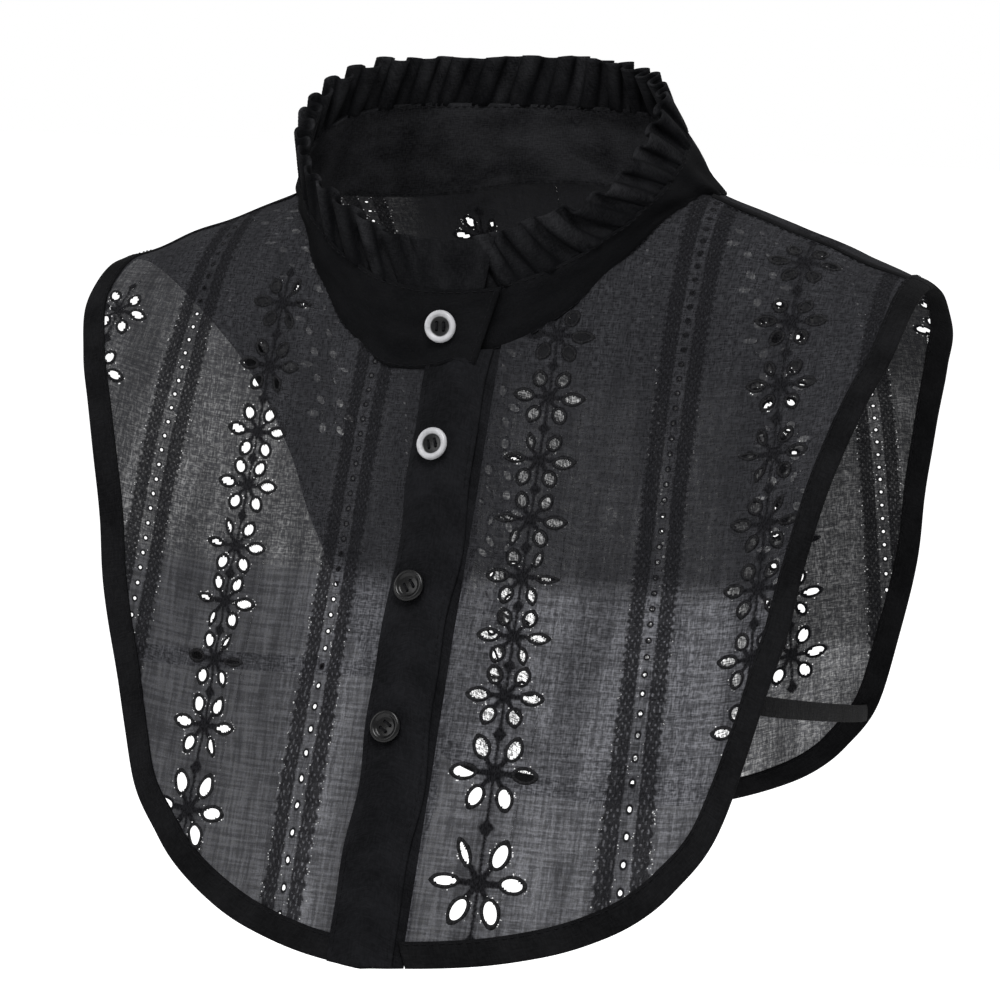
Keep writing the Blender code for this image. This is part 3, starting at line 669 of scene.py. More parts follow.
# %% [markdown]
# ## A shader group for cloth
#
# The voile and the cottons share the same fine structure, so it is built once as a node group. It makes
# crossing threads with thicker slubs here and there. The group puts out only values, and the shader
# itself stays in each material. The maps are in metres, so a scale is plainly threads per metre.

# %% Node helpers and the weave group
def math_node(tree, operation, *given, clamp=False):
    made = tree.nodes.new("ShaderNodeMath")
    made.operation = operation
    made.use_clamp = clamp
    for place, source in enumerate(given):
        if isinstance(source, (int, float)):
            made.inputs[place].default_value = source
        else:
            tree.links.new(source, made.inputs[place])
    return made.outputs[0]


def plus(tree, first, second):
    return math_node(tree, "ADD", first, second)


def minus(tree, first, second):
    return math_node(tree, "SUBTRACT", first, second)


def times(tree, first, second):
    return math_node(tree, "MULTIPLY", first, second)


def larger(tree, first, second):
    return math_node(tree, "MAXIMUM", first, second)


def less(tree, value, share):
    """One minus a share of a value."""
    return minus(tree, 1.0, times(tree, value, share))


def stretch(tree, vector, scale):
    made = tree.nodes.new("ShaderNodeVectorMath")
    made.operation = "MULTIPLY"
    tree.links.new(vector, made.inputs[0])
    made.inputs[1].default_value = scale
    return made.outputs[0]


def noise(tree, vector, scale, detail=2.0):
    made = tree.nodes.new("ShaderNodeTexNoise")
    made.inputs["Scale"].default_value = scale
    made.inputs["Detail"].default_value = detail
    tree.links.new(vector, made.inputs["Vector"])
    return made.outputs["Fac"]


def between(tree, value, low, high, to_low=0.0, to_high=1.0):
    made = tree.nodes.new("ShaderNodeMapRange")
    made.interpolation_type = "SMOOTHSTEP"
    tree.links.new(value, made.inputs["Value"])
    made.inputs["From Min"].default_value = low
    made.inputs["From Max"].default_value = high
    made.inputs["To Min"].default_value = to_low
    made.inputs["To Max"].default_value = to_high
    return made.outputs["Result"]


def new_group(name, inputs, outputs):
    made = bpy.data.node_groups.new(name, "ShaderNodeTree")
    for label, kind in inputs:
        made.interface.new_socket(name=label, in_out="INPUT", socket_type=kind)
    for label, kind in outputs:
        made.interface.new_socket(name=label, in_out="OUTPUT", socket_type=kind)
    return made, made.nodes.new("NodeGroupInput"), made.nodes.new("NodeGroupOutput")


weave, into, out = new_group("weave", [("Map", "NodeSocketVector"), ("Threads", "NodeSocketFloat")],
                             [("Thread", "NodeSocketFloat"), ("Slub", "NodeSocketFloat")])
scaled = weave.nodes.new("ShaderNodeVectorMath")
scaled.operation = "SCALE"
weave.links.new(into.outputs["Map"], scaled.inputs[0])
weave.links.new(into.outputs["Threads"], scaled.inputs["Scale"])
weft = noise(weave, stretch(weave, scaled.outputs[0], (0.22, 1.0, 1.0)), 1.0, 1.0)
warp = noise(weave, stretch(weave, scaled.outputs[0], (1.0, 0.22, 1.0)), 1.0, 1.0)
thick_weft = noise(weave, stretch(weave, scaled.outputs[0], (0.03, 0.45, 1.0)), 1.0, 2.0)
thick_warp = noise(weave, stretch(weave, scaled.outputs[0], (0.45, 0.03, 1.0)), 1.0, 2.0)
crossing = times(weave, plus(weave, weft, warp), 0.5)
weave.links.new(between(weave, crossing, 0.34, 0.66), out.inputs["Thread"])
slubs = times(weave, plus(weave, thick_weft, thick_warp), 0.5)
weave.links.new(between(weave, slubs, 0.36, 0.64), out.inputs["Slub"])


def place_group(tree, group, **given):
    made = tree.nodes.new("ShaderNodeGroup")
    made.node_tree = group
    for label, source in given.items():
        if isinstance(source, (int, float)):
            made.inputs[label].default_value = source
        else:
            tree.links.new(source, made.inputs[label])
    return made


def start_material(name, rough, shine):
    """A material with its own shader, whose constant values are set on the shader."""
    made = bpy.data.materials.new(name)
    made.use_nodes = True
    tree = made.node_tree
    shader = tree.nodes["Principled BSDF"]
    shader.inputs["Roughness"].default_value = rough
    shader.inputs["Specular IOR Level"].default_value = shine
    flat = tree.nodes.new("ShaderNodeUVMap")
    flat.uv_map = "flat"
    return made, tree, shader, flat.outputs["UV"]


def grey_mix(tree, factor, dark, pale):
    made = tree.nodes.new("ShaderNodeMix")
    made.data_type = "RGBA"
    for socket, colour in ((made.inputs[6], dark), (made.inputs[7], pale)):
        if isinstance(colour, tuple):
            socket.default_value = (*colour, 1.0)
        else:
            tree.links.new(colour, socket)
    tree.links.new(factor, made.inputs[0])
    return made.outputs[2]


def tint(tree, shader, factor, dark, pale):
    """Mix the base colour between two tones."""
    tree.links.new(grey_mix(tree, factor, dark, pale), shader.inputs["Base Color"])


def bump(tree, shader, height, distance, strength):
    made = tree.nodes.new("ShaderNodeBump")
    made.inputs["Strength"].default_value = strength
    made.inputs["Distance"].default_value = distance
    tree.links.new(height, made.inputs["Height"])
    tree.links.new(made.outputs["Normal"], shader.inputs["Normal"])


# %% [markdown]
# ## The sheer voile
#
# Voile is so open that the light behind it shows. Its openness could be drawn as real threads, but at this
# size thousands of them would be needed, so the material thins its alpha between the threads of the weave
# group. Where there is stitching the alpha goes back to full, and in the needle holes round the petals and
# the ladders' small holes it goes to none. The values that say where each lies were kept on the mesh.

# %% Voile material
def read_value(tree, name):
    made = tree.nodes.new("ShaderNodeAttribute")
    made.attribute_name = name
    return made.outputs["Fac"]


voile, tree, shader, flat = start_material("voile", 0.9, 0.05)
threads = place_group(tree, weave, Map=flat, Threads=2000.0)
openness = read_value(tree, "openness")
voile_lit_paint = read_value(tree, "voile_lit_paint")
petal_near = read_value(tree, "petal")
solid_near = read_value(tree, "stitched")
ladder_off = read_value(tree, "ladder")
ladder_run = read_value(tree, "run")

streaks = between(tree, noise(tree, stretch(tree, flat, (1.0, 0.16, 1.0)), 75.0, 2.0), 0.33, 0.67, 0.62, 1.3)
openness = times(tree, openness, streaks)
uneven = noise(tree, flat, 1100.0, 2.0)
ragged = times(tree, minus(tree, uneven, 0.5), 2.2)
off = math_node(tree, "ABSOLUTE", ladder_off)
step = times(tree, minus(tree, math_node(tree, "FRACT", ladder_run), 0.5), 5.1)
to_hole = math_node(tree, "SQRT", plus(tree, times(tree, ladder_off, ladder_off), times(tree, step, step)))
to_hole = plus(tree, to_hole, times(tree, ragged, 0.12))
hole = between(tree, to_hole, 0.42, 0.60, 1.0, 0.0)
hole_rim = between(tree, to_hole, 0.85, 1.25, 1.0, 0.0)

scallop = times(tree, math_node(tree, "SINE", times(tree, ladder_run, 6.2832 * 2)), 0.45)
edge_off = plus(tree, plus(tree, off, scallop), times(tree, ragged, 0.5))
band = times(tree, between(tree, plus(tree, off, times(tree, ragged, 0.4)), 1.9, 2.5),
             between(tree, edge_off, 6.6, 7.6, 1.0, 0.0))
across_knots = math_node(tree, "SINE", times(tree, off, 6.2832 / 1.85))
drift = times(tree, noise(tree, flat, 260.0, 1.0), 9.0)
down_knots = math_node(tree, "SINE", plus(tree, times(tree, ladder_run, 6.2832 * 2), drift))
knots = plus(tree, times(tree, across_knots, down_knots), times(tree, ragged, 1.3))
lace = between(tree, knots, 0.25, 1.0)
band = times(tree, times(tree, band, less(tree, lace, 0.75)), 0.88)

net = tree.nodes.new("ShaderNodeTexVoronoi")
net.inputs["Scale"].default_value = 900.0
tree.links.new(flat, net.inputs["Vector"])
pricks = between(tree, net.outputs["Distance"], 0.13, 0.26, 1.0, 0.0)
by_petal = times(tree, between(tree, petal_near, 1.0, 1.2), between(tree, petal_near, 1.7, 2.0, 1.0, 0.0))
by_ladder = times(tree, between(tree, edge_off, 1.3, 1.5), between(tree, edge_off, 2.0, 2.3, 1.0, 0.0))
by_edge = times(tree, between(tree, edge_off, 6.7, 7.0), between(tree, edge_off, 7.7, 8.1, 1.0, 0.0))
pricks = times(tree, pricks, larger(tree, by_petal, times(tree, larger(tree, by_ladder, by_edge), 0.6)))

heart = between(tree, plus(tree, solid_near, times(tree, ragged, 0.55)), -0.35, 0.45, 1.0, 0.0)
near_rim = between(tree, plus(tree, petal_near, times(tree, ragged, 0.2)), 0.8, 1.35, 1.0, 0.0)
stitching = larger(tree, larger(tree, heart, near_rim), larger(tree, band, hole_rim))

gaps = minus(tree, 1.0, threads.outputs["Thread"])
thin = plus(tree, 0.15, times(tree, math_node(tree, "POWER", gaps, 1.6), 2.3))
thin = times(tree, thin, plus(tree, 0.55, times(tree, threads.outputs["Slub"], 0.9)))
thin = times(tree, times(tree, thin, openness), less(tree, stitching, 0.97))
gone = larger(tree, hole, times(tree, pricks, 0.8))
open_here = math_node(tree, "MAXIMUM", thin, gone, clamp=True)
tree.links.new(math_node(tree, "SUBTRACT", 1.0, open_here, clamp=True), shader.inputs["Alpha"])

satin = noise(tree, stretch(tree, flat, (1.0, 0.35, 1.0)), 2600.0, 1.0)
# Painted light: the colour mixes a dim tone and a much paler lit tone by the painted-light value kept on the
# mesh, so where that value is high the voile is drawn lit whatever the lamps do.
dim = grey_mix(tree, threads.outputs["Thread"], (0.010, 0.0101, 0.0115), (0.021, 0.0213, 0.024))
lit = grey_mix(tree, threads.outputs["Thread"], (0.048, 0.0485, 0.054), (0.190, 0.192, 0.210))
lit_share = times(tree, voile_lit_paint, between(tree, threads.outputs["Slub"], 0.0, 1.0, 0.35, 0.9))
cloth_tone = grey_mix(tree, times(tree, lit_share, streaks), dim, lit)
stitch_tone = grey_mix(tree, between(tree, satin, 0.3, 0.7), (0.0035, 0.0035, 0.0042), (0.014, 0.014, 0.016))
tint(tree, shader, stitching, cloth_tone, stitch_tone)
relief = plus(tree, times(tree, threads.outputs["Thread"], 0.30),
              times(tree, stitching, plus(tree, 0.7, times(tree, satin, 0.7))))
bump(tree, shader, relief, 0.00024, 0.8)
print("voile:", len(tree.nodes), "nodes")

# %% [markdown]
# ## The petals' holes and the panels
#
# A petal is a real hole. The nearest points of the fine grid are moved onto the petal's outline, and the
# faces inside it are left out, which is quicker and steadier than cutting hundreds of holes one by one.
# Satin stitching then covers each rim.

# %% Cut panels
NECK_TUCK = 0.0018
PANEL_CELL = {"front_right": 0.00082, "front_left": 0.00082, "back": 0.00095}


def inset_edge(front, side, inset):
    edge = OUTLINES[front, side]
    cut = edge + inward(edge, front) * inset
    cut[0] = (shoulder_end(side) - inset, SEAM_FORWARD)
    drop = FRONT_DROP if front else BACK_DROP
    tip = RIDGE_HEIGHT - math.tan(SHOULDER_SLOPE) * SHOULDER_HALF
    heights = plain_cloth(cut[:, 0], cut[:, 1])[:, 2]
    corner = int(np.argmax(heights < tip - drop * EDGE[CORNER_ROW]["down"]))
    return cut[:corner + 1], cut[corner:]


def front_edges(side, inner, inset):
    armhole, hem = inset_edge(True, side, inset)
    hem = hem[hem[:, 0] >= inner]
    last = (inner, float(np.interp(inner, hem[::-1, 0], hem[::-1, 1])))
    hem = spread(np.vstack([hem, [last]])[::-1], 300)
    start = math.asin((inner - NECK_ASIDE * side) / (NECK_HALF - NECK_TUCK))
    neck = []
    for turn in np.linspace(start, seam_turn(-NECK_TUCK), 60):
        x, length = neckline(turn * side, -NECK_TUCK)
        neck.append((x * side, length))
    neck[-1] = (neck[-1][0], SEAM_FORWARD)
    neck.append((shoulder_end(side) - inset, SEAM_FORWARD))
    top = spread(neck, 300)
    return top, hem, spread([top[0], hem[0]], 300), spread(armhole, 300)


def back_edges(inset):
    mirror = np.array([-1.0, 1.0])
    left, left_hem = inset_edge(False, 1, inset)
    right, right_hem = inset_edge(False, -1, inset)
    end = math.pi / 2
    neck = [(inset - shoulder_end(-1), SEAM_FORWARD)]
    for turn in np.linspace(-end, end - 2 * math.pi, 90):
        neck.append(neckline(turn, -NECK_TUCK))
    neck[1] = (neck[1][0], SEAM_FORWARD)
    neck[-1] = (neck[-1][0], SEAM_FORWARD)
    neck.append((shoulder_end(1) - inset, SEAM_FORWARD))
    hem = np.vstack([(right_hem * mirror)[:-1], left_hem[::-1]])
    return spread(neck, 400), spread(hem, 400), spread(right, 300) * mirror, spread(left, 300)


def line_length(line):
    return float(np.sum(np.linalg.norm(np.diff(line, axis=0), axis=1)))


def panel_grid(name, inset):
    if name == "back":
        edges = back_edges(inset)
        side = 1
    else:
        side = 1 if name == "front_left" else -1
        inner = PLACKET_WIDTH / 2 + (UNDER_PEEP if side > 0 else 0.0) - 0.0012
        edges = front_edges(side, inner, inset)
    columns = int(max(line_length(edges[0]), line_length(edges[1])) / PANEL_CELL[name] * 0.93)
    rows = int(max(line_length(edges[2]), line_length(edges[3])) / PANEL_CELL[name] * 0.93)
    grid = coons(*edges, columns, rows)
    return grid[..., 0] * side, grid[..., 1]


def open_petals(x, length, name):
    """Move points onto the petals' outlines and say which lie in a petal."""
    inside = np.zeros(x.shape, dtype=bool)
    cell = PANEL_CELL[name]
    way = -1.0 if name == "back" else 1.0
    down = level_down(x, length)
    for row in PETALS[name]:
        near = np.nonzero((np.abs(x - row[0]) + np.abs(down - row[1]) < 0.012) & (length * way > 0))
        along, across = petal_frame(x[near], down[near], row)
        share = np.hypot(along / row[3], across / row[4])
        reach = np.hypot(along, across)
        snap = np.abs(reach - reach / np.maximum(share, 1e-6)) < 0.55 * cell
        scale = np.where(snap, 1.0 / np.maximum(share, 1e-6), 1.0)
        along, across = along * scale, across * scale
        x[near] = row[0] + along * math.sin(row[2]) + across * math.cos(row[2])
        down[near] = row[1] + along * math.cos(row[2]) - across * math.sin(row[2])
        length[near] = way * (down[near] - math.tan(SHOULDER_SLOPE) * np.abs(x[near]))
        inside[near] |= (share <= 1.0) | snap
    return inside


def smooth_step(share):
    share = np.clip(share, 0.0, 1.0)
    return share * share * (3 - 2 * share)


def openness_of(name, points):
    """How open the voile is, and how much painted light its colour takes; both are set by height and side."""
    z = points[..., 2]
    if name != "back":
        # Painted light on the front: low down the voile is drawn less open and its colour much paler; painted
        # shade keeps it darker on the left front, and beside the placket for the placket's shadow.
        low = smooth_step((-z - 0.090) / 0.012)
        left = smooth_step((-points[..., 0] - 0.02) / 0.04)
        upper = smooth_step((z + 0.055) / 0.035)
        placket_painted_shade = 1.0 - smooth_step((np.abs(points[..., 0] - 0.002) - 0.014) / 0.016)
        lit = 0.12 + (0.88 - 0.60 * left) * low
        return 0.050 - 0.022 * upper - 0.036 * low, lit * (1.0 - 0.45 * placket_painted_shade)
    # On the back the painted light is at the lower sides only; near the neck the voile is nearly shut and
    # takes no painted light, so it shows dark.
    low = smooth_step((-z - 0.117) / 0.012)
    side = smooth_step((np.abs(points[..., 0]) - 0.048) / 0.014)
    hem = smooth_step((-z - 0.136) / 0.010)
    neck = smooth_step((z + 0.052) / 0.020)
    middle = (0.14 + 0.38 * low) * (1.0 - neck) + 0.006 * neck
    edge = 0.030 + 0.035 * hem
    return (middle + (edge - middle) * side) * (1.0 - 0.7 * neck), (0.12 + 0.5 * hem * side) * (1.0 - neck)


VOILE_INSET = BINDING_WIDTH - 0.0015
panels = {}
for name in ("front_right", "front_left", "back"):
    x, length = panel_grid(name, VOILE_INSET)
    rows, columns = x.shape
    x, length = x.ravel().copy(), length.ravel().copy()
    inside = open_petals(x, length, name)
    petal, solid, ladder, run = plan(name, x, length)
    embroidery = np.minimum(np.minimum(petal, solid), np.maximum(np.abs(ladder) - 7.5, 0))
    pucker = np.clip(1.4 - embroidery / 6.0, 0.0, 1.0)
    lift = 0.00022 * np.clip(0.5 - solid, 0.0, 1.0)
    points = cloth(x, length, pucker, lift)
    faces = grid_faces(rows, columns)
    faces = faces[~inside[faces].all(axis=1)]
    openness, voile_lit_paint = openness_of(name, points)
    values = {"petal": petal, "stitched": solid, "ladder": ladder, "run": run}
    values.update({"openness": openness, "voile_lit_paint": voile_lit_paint})
    panels[name] = piece(name + "_voile", points, faces, voile, [name],
                         map_of(x, level_down(x, length)), values)
    loose = bmesh.new()
    loose.from_mesh(panels[name].data)
    bmesh.ops.delete(loose, geom=[v for v in loose.verts if not v.link_faces], context="VERTS")
    loose.to_mesh(panels[name].data)
    loose.free()

# %% [markdown]
# ## Satin rims
#
# Round each petal the thread lies side by side, raised and tight, with a pointed tip outwards. A rim is a
# small ring with a rounded top. All the rims of a panel are one mesh, because there are so many of them.

# %% Satin material and rims
satin_black, tree, shader, flat = start_material("satin_stitch", 0.6, 0.12)
lanes = stretch(tree, flat, (1.0, 0.12, 1.0))
strands = noise(tree, lanes, 4200.0, 1.0)
tint(tree, shader, between(tree, strands, 0.35, 0.7), (0.0030, 0.0030, 0.0036), (0.018, 0.018, 0.020))
bump(tree, shader, strands, 0.0002, 0.9)

RIM_ROUND = 26
RIM_SECTION = ((0.0, -0.00008), (0.14, 0.00020), (0.48, 0.00032), (0.84, 0.00016), (1.0, -0.00012))
RIM_WIDE = 0.00085
RIM_TIP = 0.0006


def rims(name):
    around = np.linspace(0.0, 2 * np.pi, RIM_ROUND, endpoint=False)
    shares = np.array([share for share, _ in RIM_SECTION])[:, None]
    heights = np.array([height for _, height in RIM_SECTION])[:, None]
    front = name != "back"
    way = 1.0 if front else -1.0
    slope = math.tan(SHOULDER_SLOPE)
    batches = []
    for number, (px, down, angle, long_half, wide_half) in enumerate(PETALS[name]):
        length = (down - slope * abs(px)) * way
        clear = edge_distance(px, length, front) > BINDING_WIDTH + 0.001
        if not clear or abs(length) < neck_length(px, front) + 0.001:
            continue
        wide = RIM_WIDE * (0.4 + 260.0 * long_half)
        wide = wide * (1.0 + 0.12 * np.sin(around * 3 + number) + 0.07 * np.sin(around * 8 + number * 2.0))
        tip = RIM_TIP * shares * np.clip(np.cos(around), 0.0, 1.0) ** 6
        along = (long_half + wide * shares) * np.cos(around) + tip
        across = (wide_half + wide * shares) * np.sin(around)
        x = px + along * math.sin(angle) + across * math.cos(angle)
        length = (down + along * math.cos(angle) - across * math.sin(angle) - slope * np.abs(x)) * way
        points = cloth(x, length, 1.0, np.broadcast_to(heights, x.shape) + 0.00012)
        batches.append((points[None], map_of(around * 0.002 + number * 0.02, shares * RIM_WIDE)))
    return joined_tubes(name + "_petal_rims", batches, satin_black)


for name in panels:
    rims(name)

# %% [markdown]
# ## Plain black cotton
#
# The stand, the frill and the placket are one plain cotton, woven tighter than the voile. Its colour and
# its height both come from the weave group, and low broad noise makes the faint shading of pressed cloth.
# The crests of the frill and the inside of the stand are drawn paler as painted light, and the frill's flanks
# and the stand's outside darker as painted shade. They read a painted-light value kept on the mesh, which
# says how pale each point is.

# %% Cotton, binding, elastic and thread materials
def cotton_like(name, dark, pale, threads_per_metre, rough, shine, deep, painted_light=False):
    made, tree, shader, flat = start_material(name, rough, shine)
    threads = place_group(tree, weave, Map=flat, Threads=threads_per_metre)
    wear = noise(tree, flat, 60.0, 3.0)
    tone = plus(tree, times(tree, threads.outputs["Thread"], 0.45),
                times(tree, between(tree, wear, 0.3, 0.7), 0.55))
    # Painted light: where asked, the tone is scaled by the painted-light value kept on the mesh.
    if painted_light:
        tone = times(tree, tone, read_value(tree, "cotton_lit_paint"))
    tint(tree, shader, tone, dark, pale)
    height = plus(tree, threads.outputs["Thread"], times(tree, threads.outputs["Slub"], 0.6))
    height = plus(tree, height, times(tree, wear, 7.0))
    bump(tree, shader, height, deep, 0.8)
    return made


cotton = cotton_like("plain_cotton", (0.0040, 0.0041, 0.0047), (0.0125, 0.0127, 0.0145),
                     1900.0, 0.9, 0.04, 0.00014)
stand_cotton = cotton_like("stand_cotton", (0.0030, 0.0031, 0.0036), (0.0240, 0.0243, 0.0265),
                           2100.0, 0.9, 0.04, 0.00012, True)
frill_cotton = cotton_like("frill_cotton", (0.0022, 0.0023, 0.0028), (0.0300, 0.0303, 0.0330),
                           1900.0, 0.9, 0.04, 0.00014, True)
bias = cotton_like("bias_tape", (0.0035, 0.0035, 0.0039), (0.0100, 0.0101, 0.0110),
                   1700.0, 0.88, 0.04, 0.00016)
elastic = cotton_like("flat_elastic", (0.0020, 0.0020, 0.0024), (0.0080, 0.0080, 0.0090),
                      1300.0, 0.8, 0.06, 0.0003)
thread, tree, shader, flat = start_material("sewing_thread", 0.7, 0.08)
ply = noise(tree, stretch(tree, flat, (1.0, 6.0, 1.0)), 1500.0, 1.0)
tint(tree, shader, ply, (0.003, 0.003, 0.0035), (0.012, 0.012, 0.014))
bump(tree, shader, ply, 0.0001, 0.6)

# %% [markdown]
# ## Stitches
#
# A row of machine stitches is a line of short spindles of thread, each a little sunk at its ends. One
# helper lays them along any line on any surface, and all the rows of a piece are one mesh.

# %% Stitch helper
STITCH = 0.0021
STITCH_GAP = 0.0007
THREAD_THICK = 0.00016
STITCH_PROFILE = (
    {"along": 0.00, "thick": 0.15, "lift": -1.0},
    {"along": 0.18, "thick": 0.85, "lift": 0.2},
    {"along": 0.50, "thick": 1.00, "lift": 0.9},
    {"along": 0.82, "thick": 0.85, "lift": 0.2},
    {"along": 1.00, "thick": 0.15, "lift": -1.0},
)
STITCH_ROUND = 5


def stitch_rows(name, rows):
    """rows: (points, normals) along a line; makes a mesh of spindles lying on it."""
    turn = np.linspace(0.0, 2 * np.pi, STITCH_ROUND, endpoint=False)[None, None, :, None]
    profile = {key: np.array([row[key] for row in STITCH_PROFILE]) for key in ("along", "thick", "lift")}
    radius = profile["thick"][None, :, None, None] * THREAD_THICK
    lift = profile["lift"][None, :, None] * THREAD_THICK
    batches = []
    for points, normals in rows:
        lengths = np.concatenate([[0.0], np.cumsum(np.linalg.norm(np.diff(points, axis=0), axis=1))])
        starts = np.arange(0.0, lengths[-1] - STITCH, STITCH + STITCH_GAP)
        at = starts[:, None] + profile["along"][None] * STITCH
        middle = np.stack([np.interp(at, lengths, points[:, axis]) for axis in range(3)], axis=-1)
        normal = unit(np.stack([np.interp(at, lengths, normals[:, axis]) for axis in range(3)], axis=-1))
        beside = unit(np.cross(unit(middle[:, -1] - middle[:, 0])[:, None], normal))
        middle = middle + normal * lift
        ring = beside[:, :, None] * np.cos(turn) * radius + normal[:, :, None] * np.sin(turn) * radius
        flat_map = map_of(at[:, :, None], turn[..., 0] * THREAD_THICK)
        batches.append((middle[:, :, None] + ring, flat_map))
    return joined_tubes(name, batches, thread)


# %% [markdown]
# ## Bindings
#
# A bias strip is folded over the raw edge and topstitched. Here it is a flat tube with soft corners that
# wraps the panel's edge, swept along it, with small drags where the strip was eased round the curves.

# %% Bindings
BAND_ROUND = 20
BINDING_THICK = 0.0019
BINDING_STEP = 0.0016
OUTER_MAP = 0.02


def flat_section(count, half_thick, corner=0.35):
    """A flattened tube's section: places across from 0 to 1 and heights, starting at the inner edge."""
    turn = np.linspace(0.0, 2 * np.pi, count, endpoint=False)
    across = 0.5 - 0.5 * np.sign(np.cos(turn)) * np.abs(np.cos(turn)) ** 0.75
    height = np.sign(np.sin(turn)) * np.abs(np.sin(turn)) ** corner * half_thick
    return across, height


def bind(name, line, side, front, node):
    """line: the panel's edge as (x, length), outside at BINDING_WIDTH from it."""
    count = int(line_length(line) / BINDING_STEP)
    line = spread(line, count)
    into = inward(line, front)
    across, height = flat_section(BAND_ROUND, BINDING_THICK / 2)
    place = -0.0007 + (BINDING_WIDTH + 0.0007) * across
    drag = np.arange(count)[:, None] * BINDING_STEP
    x = line[:, 0, None] - into[:, 0, None] * place[None]
    length = line[:, 1, None] - into[:, 1, None] * place[None]
    pulls = 0.00016 * np.sin(drag / 0.0031 + 1.7 * np.sin(drag / 0.017) + place[None] * 500)
    pulls = pulls * np.sin(across * np.pi)[None]
    seam = -0.00022 * np.exp(-((place - 0.0009) / 0.0005) ** 2)[None] * np.sign(height)[None]
    points = cloth(x * side, length, 0.0, height[None] + pulls + seam)
    flat_map = map_of(drag, place[None] + (height[None] > 0) * OUTER_MAP)
    made = piece(name, points, grid_faces(count, BAND_ROUND, round_columns=True), bias, [node],
                 flat_map)
    close_ends(made)
    rows = []
    for face in (1.0, -1.0):
        sx = line[:, 0] - into[:, 0] * 0.0002
        sl = line[:, 1] - into[:, 1] * 0.0002
        normal = cloth_out(sx * side, sl) * face
        rows.append((cloth(sx * side, sl) + normal * (BINDING_THICK / 2 - 0.0001), normal))
    return rows


def cut_line(front, side, inner=0.0):
    armhole, hem = inset_edge(front, side, BINDING_WIDTH)
    line = np.vstack([armhole[:-1], hem])
    if inner > 0:
        kept = line[line[:, 0] >= inner]
        inner = inner - 0.003
        line = np.vstack([kept, [(inner, float(np.interp(inner, line[::-1, 0], line[::-1, 1])))]])
    return line


right_line = cut_line(True, -1, PLACKET_WIDTH / 2)
seams = bind("binding_right", right_line, -1, True, "binding_front_right")
left_line = cut_line(True, 1, PLACKET_WIDTH / 2 + UNDER_PEEP)
seams += bind("binding_left", left_line, 1, True, "binding_front_left")
back_left = cut_line(False, 1)
back_right = cut_line(False, -1) * np.array([-1.0, 1.0])
seams += bind("binding_round_back", np.vstack([back_left[:-1], back_right[::-1]]), 1, False, "binding_back")
stitch_rows("binding_stitches", seams)

# %% [markdown]
# ## The stand collar
#
# The stand is a straight doubled band that closes over itself at the front. It is swept round the neck
# with a flat section. Pressed bands keep a crisp edge, so the section's corners are tight.

# %% Stand collar
STAND_WALL = 0.0020
TAB_SAG = 0.0050
TAB_PROUD = 0.0016
STAND_ROWS = 300
STAND_RING = 28
STAND_STITCH = 0.00012


def stand_rise(turn):
    turn = np.asarray(turn, dtype=float)
    ahead = np.cos(turn)
    x = NECK_ASIDE + NECK_HALF * np.sin(turn)
    length = np.where(ahead >= 0, NECK_FRONT * np.abs(ahead) ** NECK_SCOOP, NECK_BACK * ahead)
    into = np.stack([-np.sin(turn) * NECK_FRONT, np.cos(turn) * NECK_HALF, np.zeros_like(turn)], axis=-1)
    bottom = plain_cloth(x, length) + unit(into) * (STAND_WALL / 2 + 0.0006)
    middle = (TOP_FRONT_HEIGHT + TOP_BACK_HEIGHT) / 2
    height = (middle + TOP_SIDE_HEIGHT) / 2 - (TOP_BACK_HEIGHT - TOP_FRONT_HEIGHT) / 2 * ahead
    height = height + (middle - TOP_SIDE_HEIGHT) / 2 * np.cos(2 * turn)
    top = np.stack([TOP_ASIDE + TOP_HALF * np.sin(turn), -TOP_DEEP * ahead, height], axis=-1)
    return bottom, top


def stand_out(turn):
    near = 0.01
    bottom, top = stand_rise(turn)
    ahead = np.add(*stand_rise(turn + near)) - np.add(*stand_rise(turn - near))
    return unit(np.cross(ahead, top - bottom))


WHOLE = 2 * math.pi + 2 * TAB_TURN


def lap(share, clearance):
    turn = share * WHOLE
    under = np.clip((LAP_TURN - turn) / (LAP_TURN - 2 * TAB_TURN), 0.0, 1.0)
    over = np.clip((LAP_TURN - (WHOLE - turn)) / (LAP_TURN - 2 * TAB_TURN), 0.0, 1.0)
    return clearance / 2 * (over * over * (3 - 2 * over) - under * under * (3 - 2 * under))


def stand_point(share, rise, lift=0.0):
    turn = -TAB_TURN + share * WHOLE
    bottom, top = stand_rise(turn)
    soft = 0.0006 * np.sin(9 * turn + 4 * rise) * np.sin(np.pi * rise)
    soft = soft + 0.0004 * np.sin(23 * turn - 3 * rise + 1.0)
    out = stand_out(turn)
    away = lap(share, STAND_WALL + 0.0006) + lift + soft * smooth_step((1 - share) / 0.06)
    tab = 0.0085 * (rise - 0.30) * smooth_step((share - 0.94) / 0.06)
    aside = unit(np.cross(top - bottom, out)) * tab[..., None]
    x = NECK_ASIDE + NECK_HALF * np.sin(turn)
    length = NECK_FRONT * np.abs(np.cos(turn)) ** NECK_SCOOP
    below = plain_cloth(x, length + 0.004) - plain_cloth(x, length)
    sag = unit(below) * TAB_SAG + cloth_out(x, length) * TAB_PROUD
    sag = sag * smooth_step((share - 0.95) / 0.05)[..., None] * (1.0 - rise[..., None]) ** 3
    return bottom + (top - bottom) * rise[..., None] + out * away[..., None] + aside + sag


NECK_ROUND = 0.43
shares = np.linspace(0.0, 1.0, STAND_ROWS)
rise, height = flat_section(STAND_RING, STAND_WALL / 2, 0.3)
outer = height[None] > 0
points = stand_point(*np.broadcast_arrays(shares[:, None], rise[None], height[None]))
flat_map = map_of(shares[:, None] * NECK_ROUND, rise[None] * 0.045 + outer * 0.06)
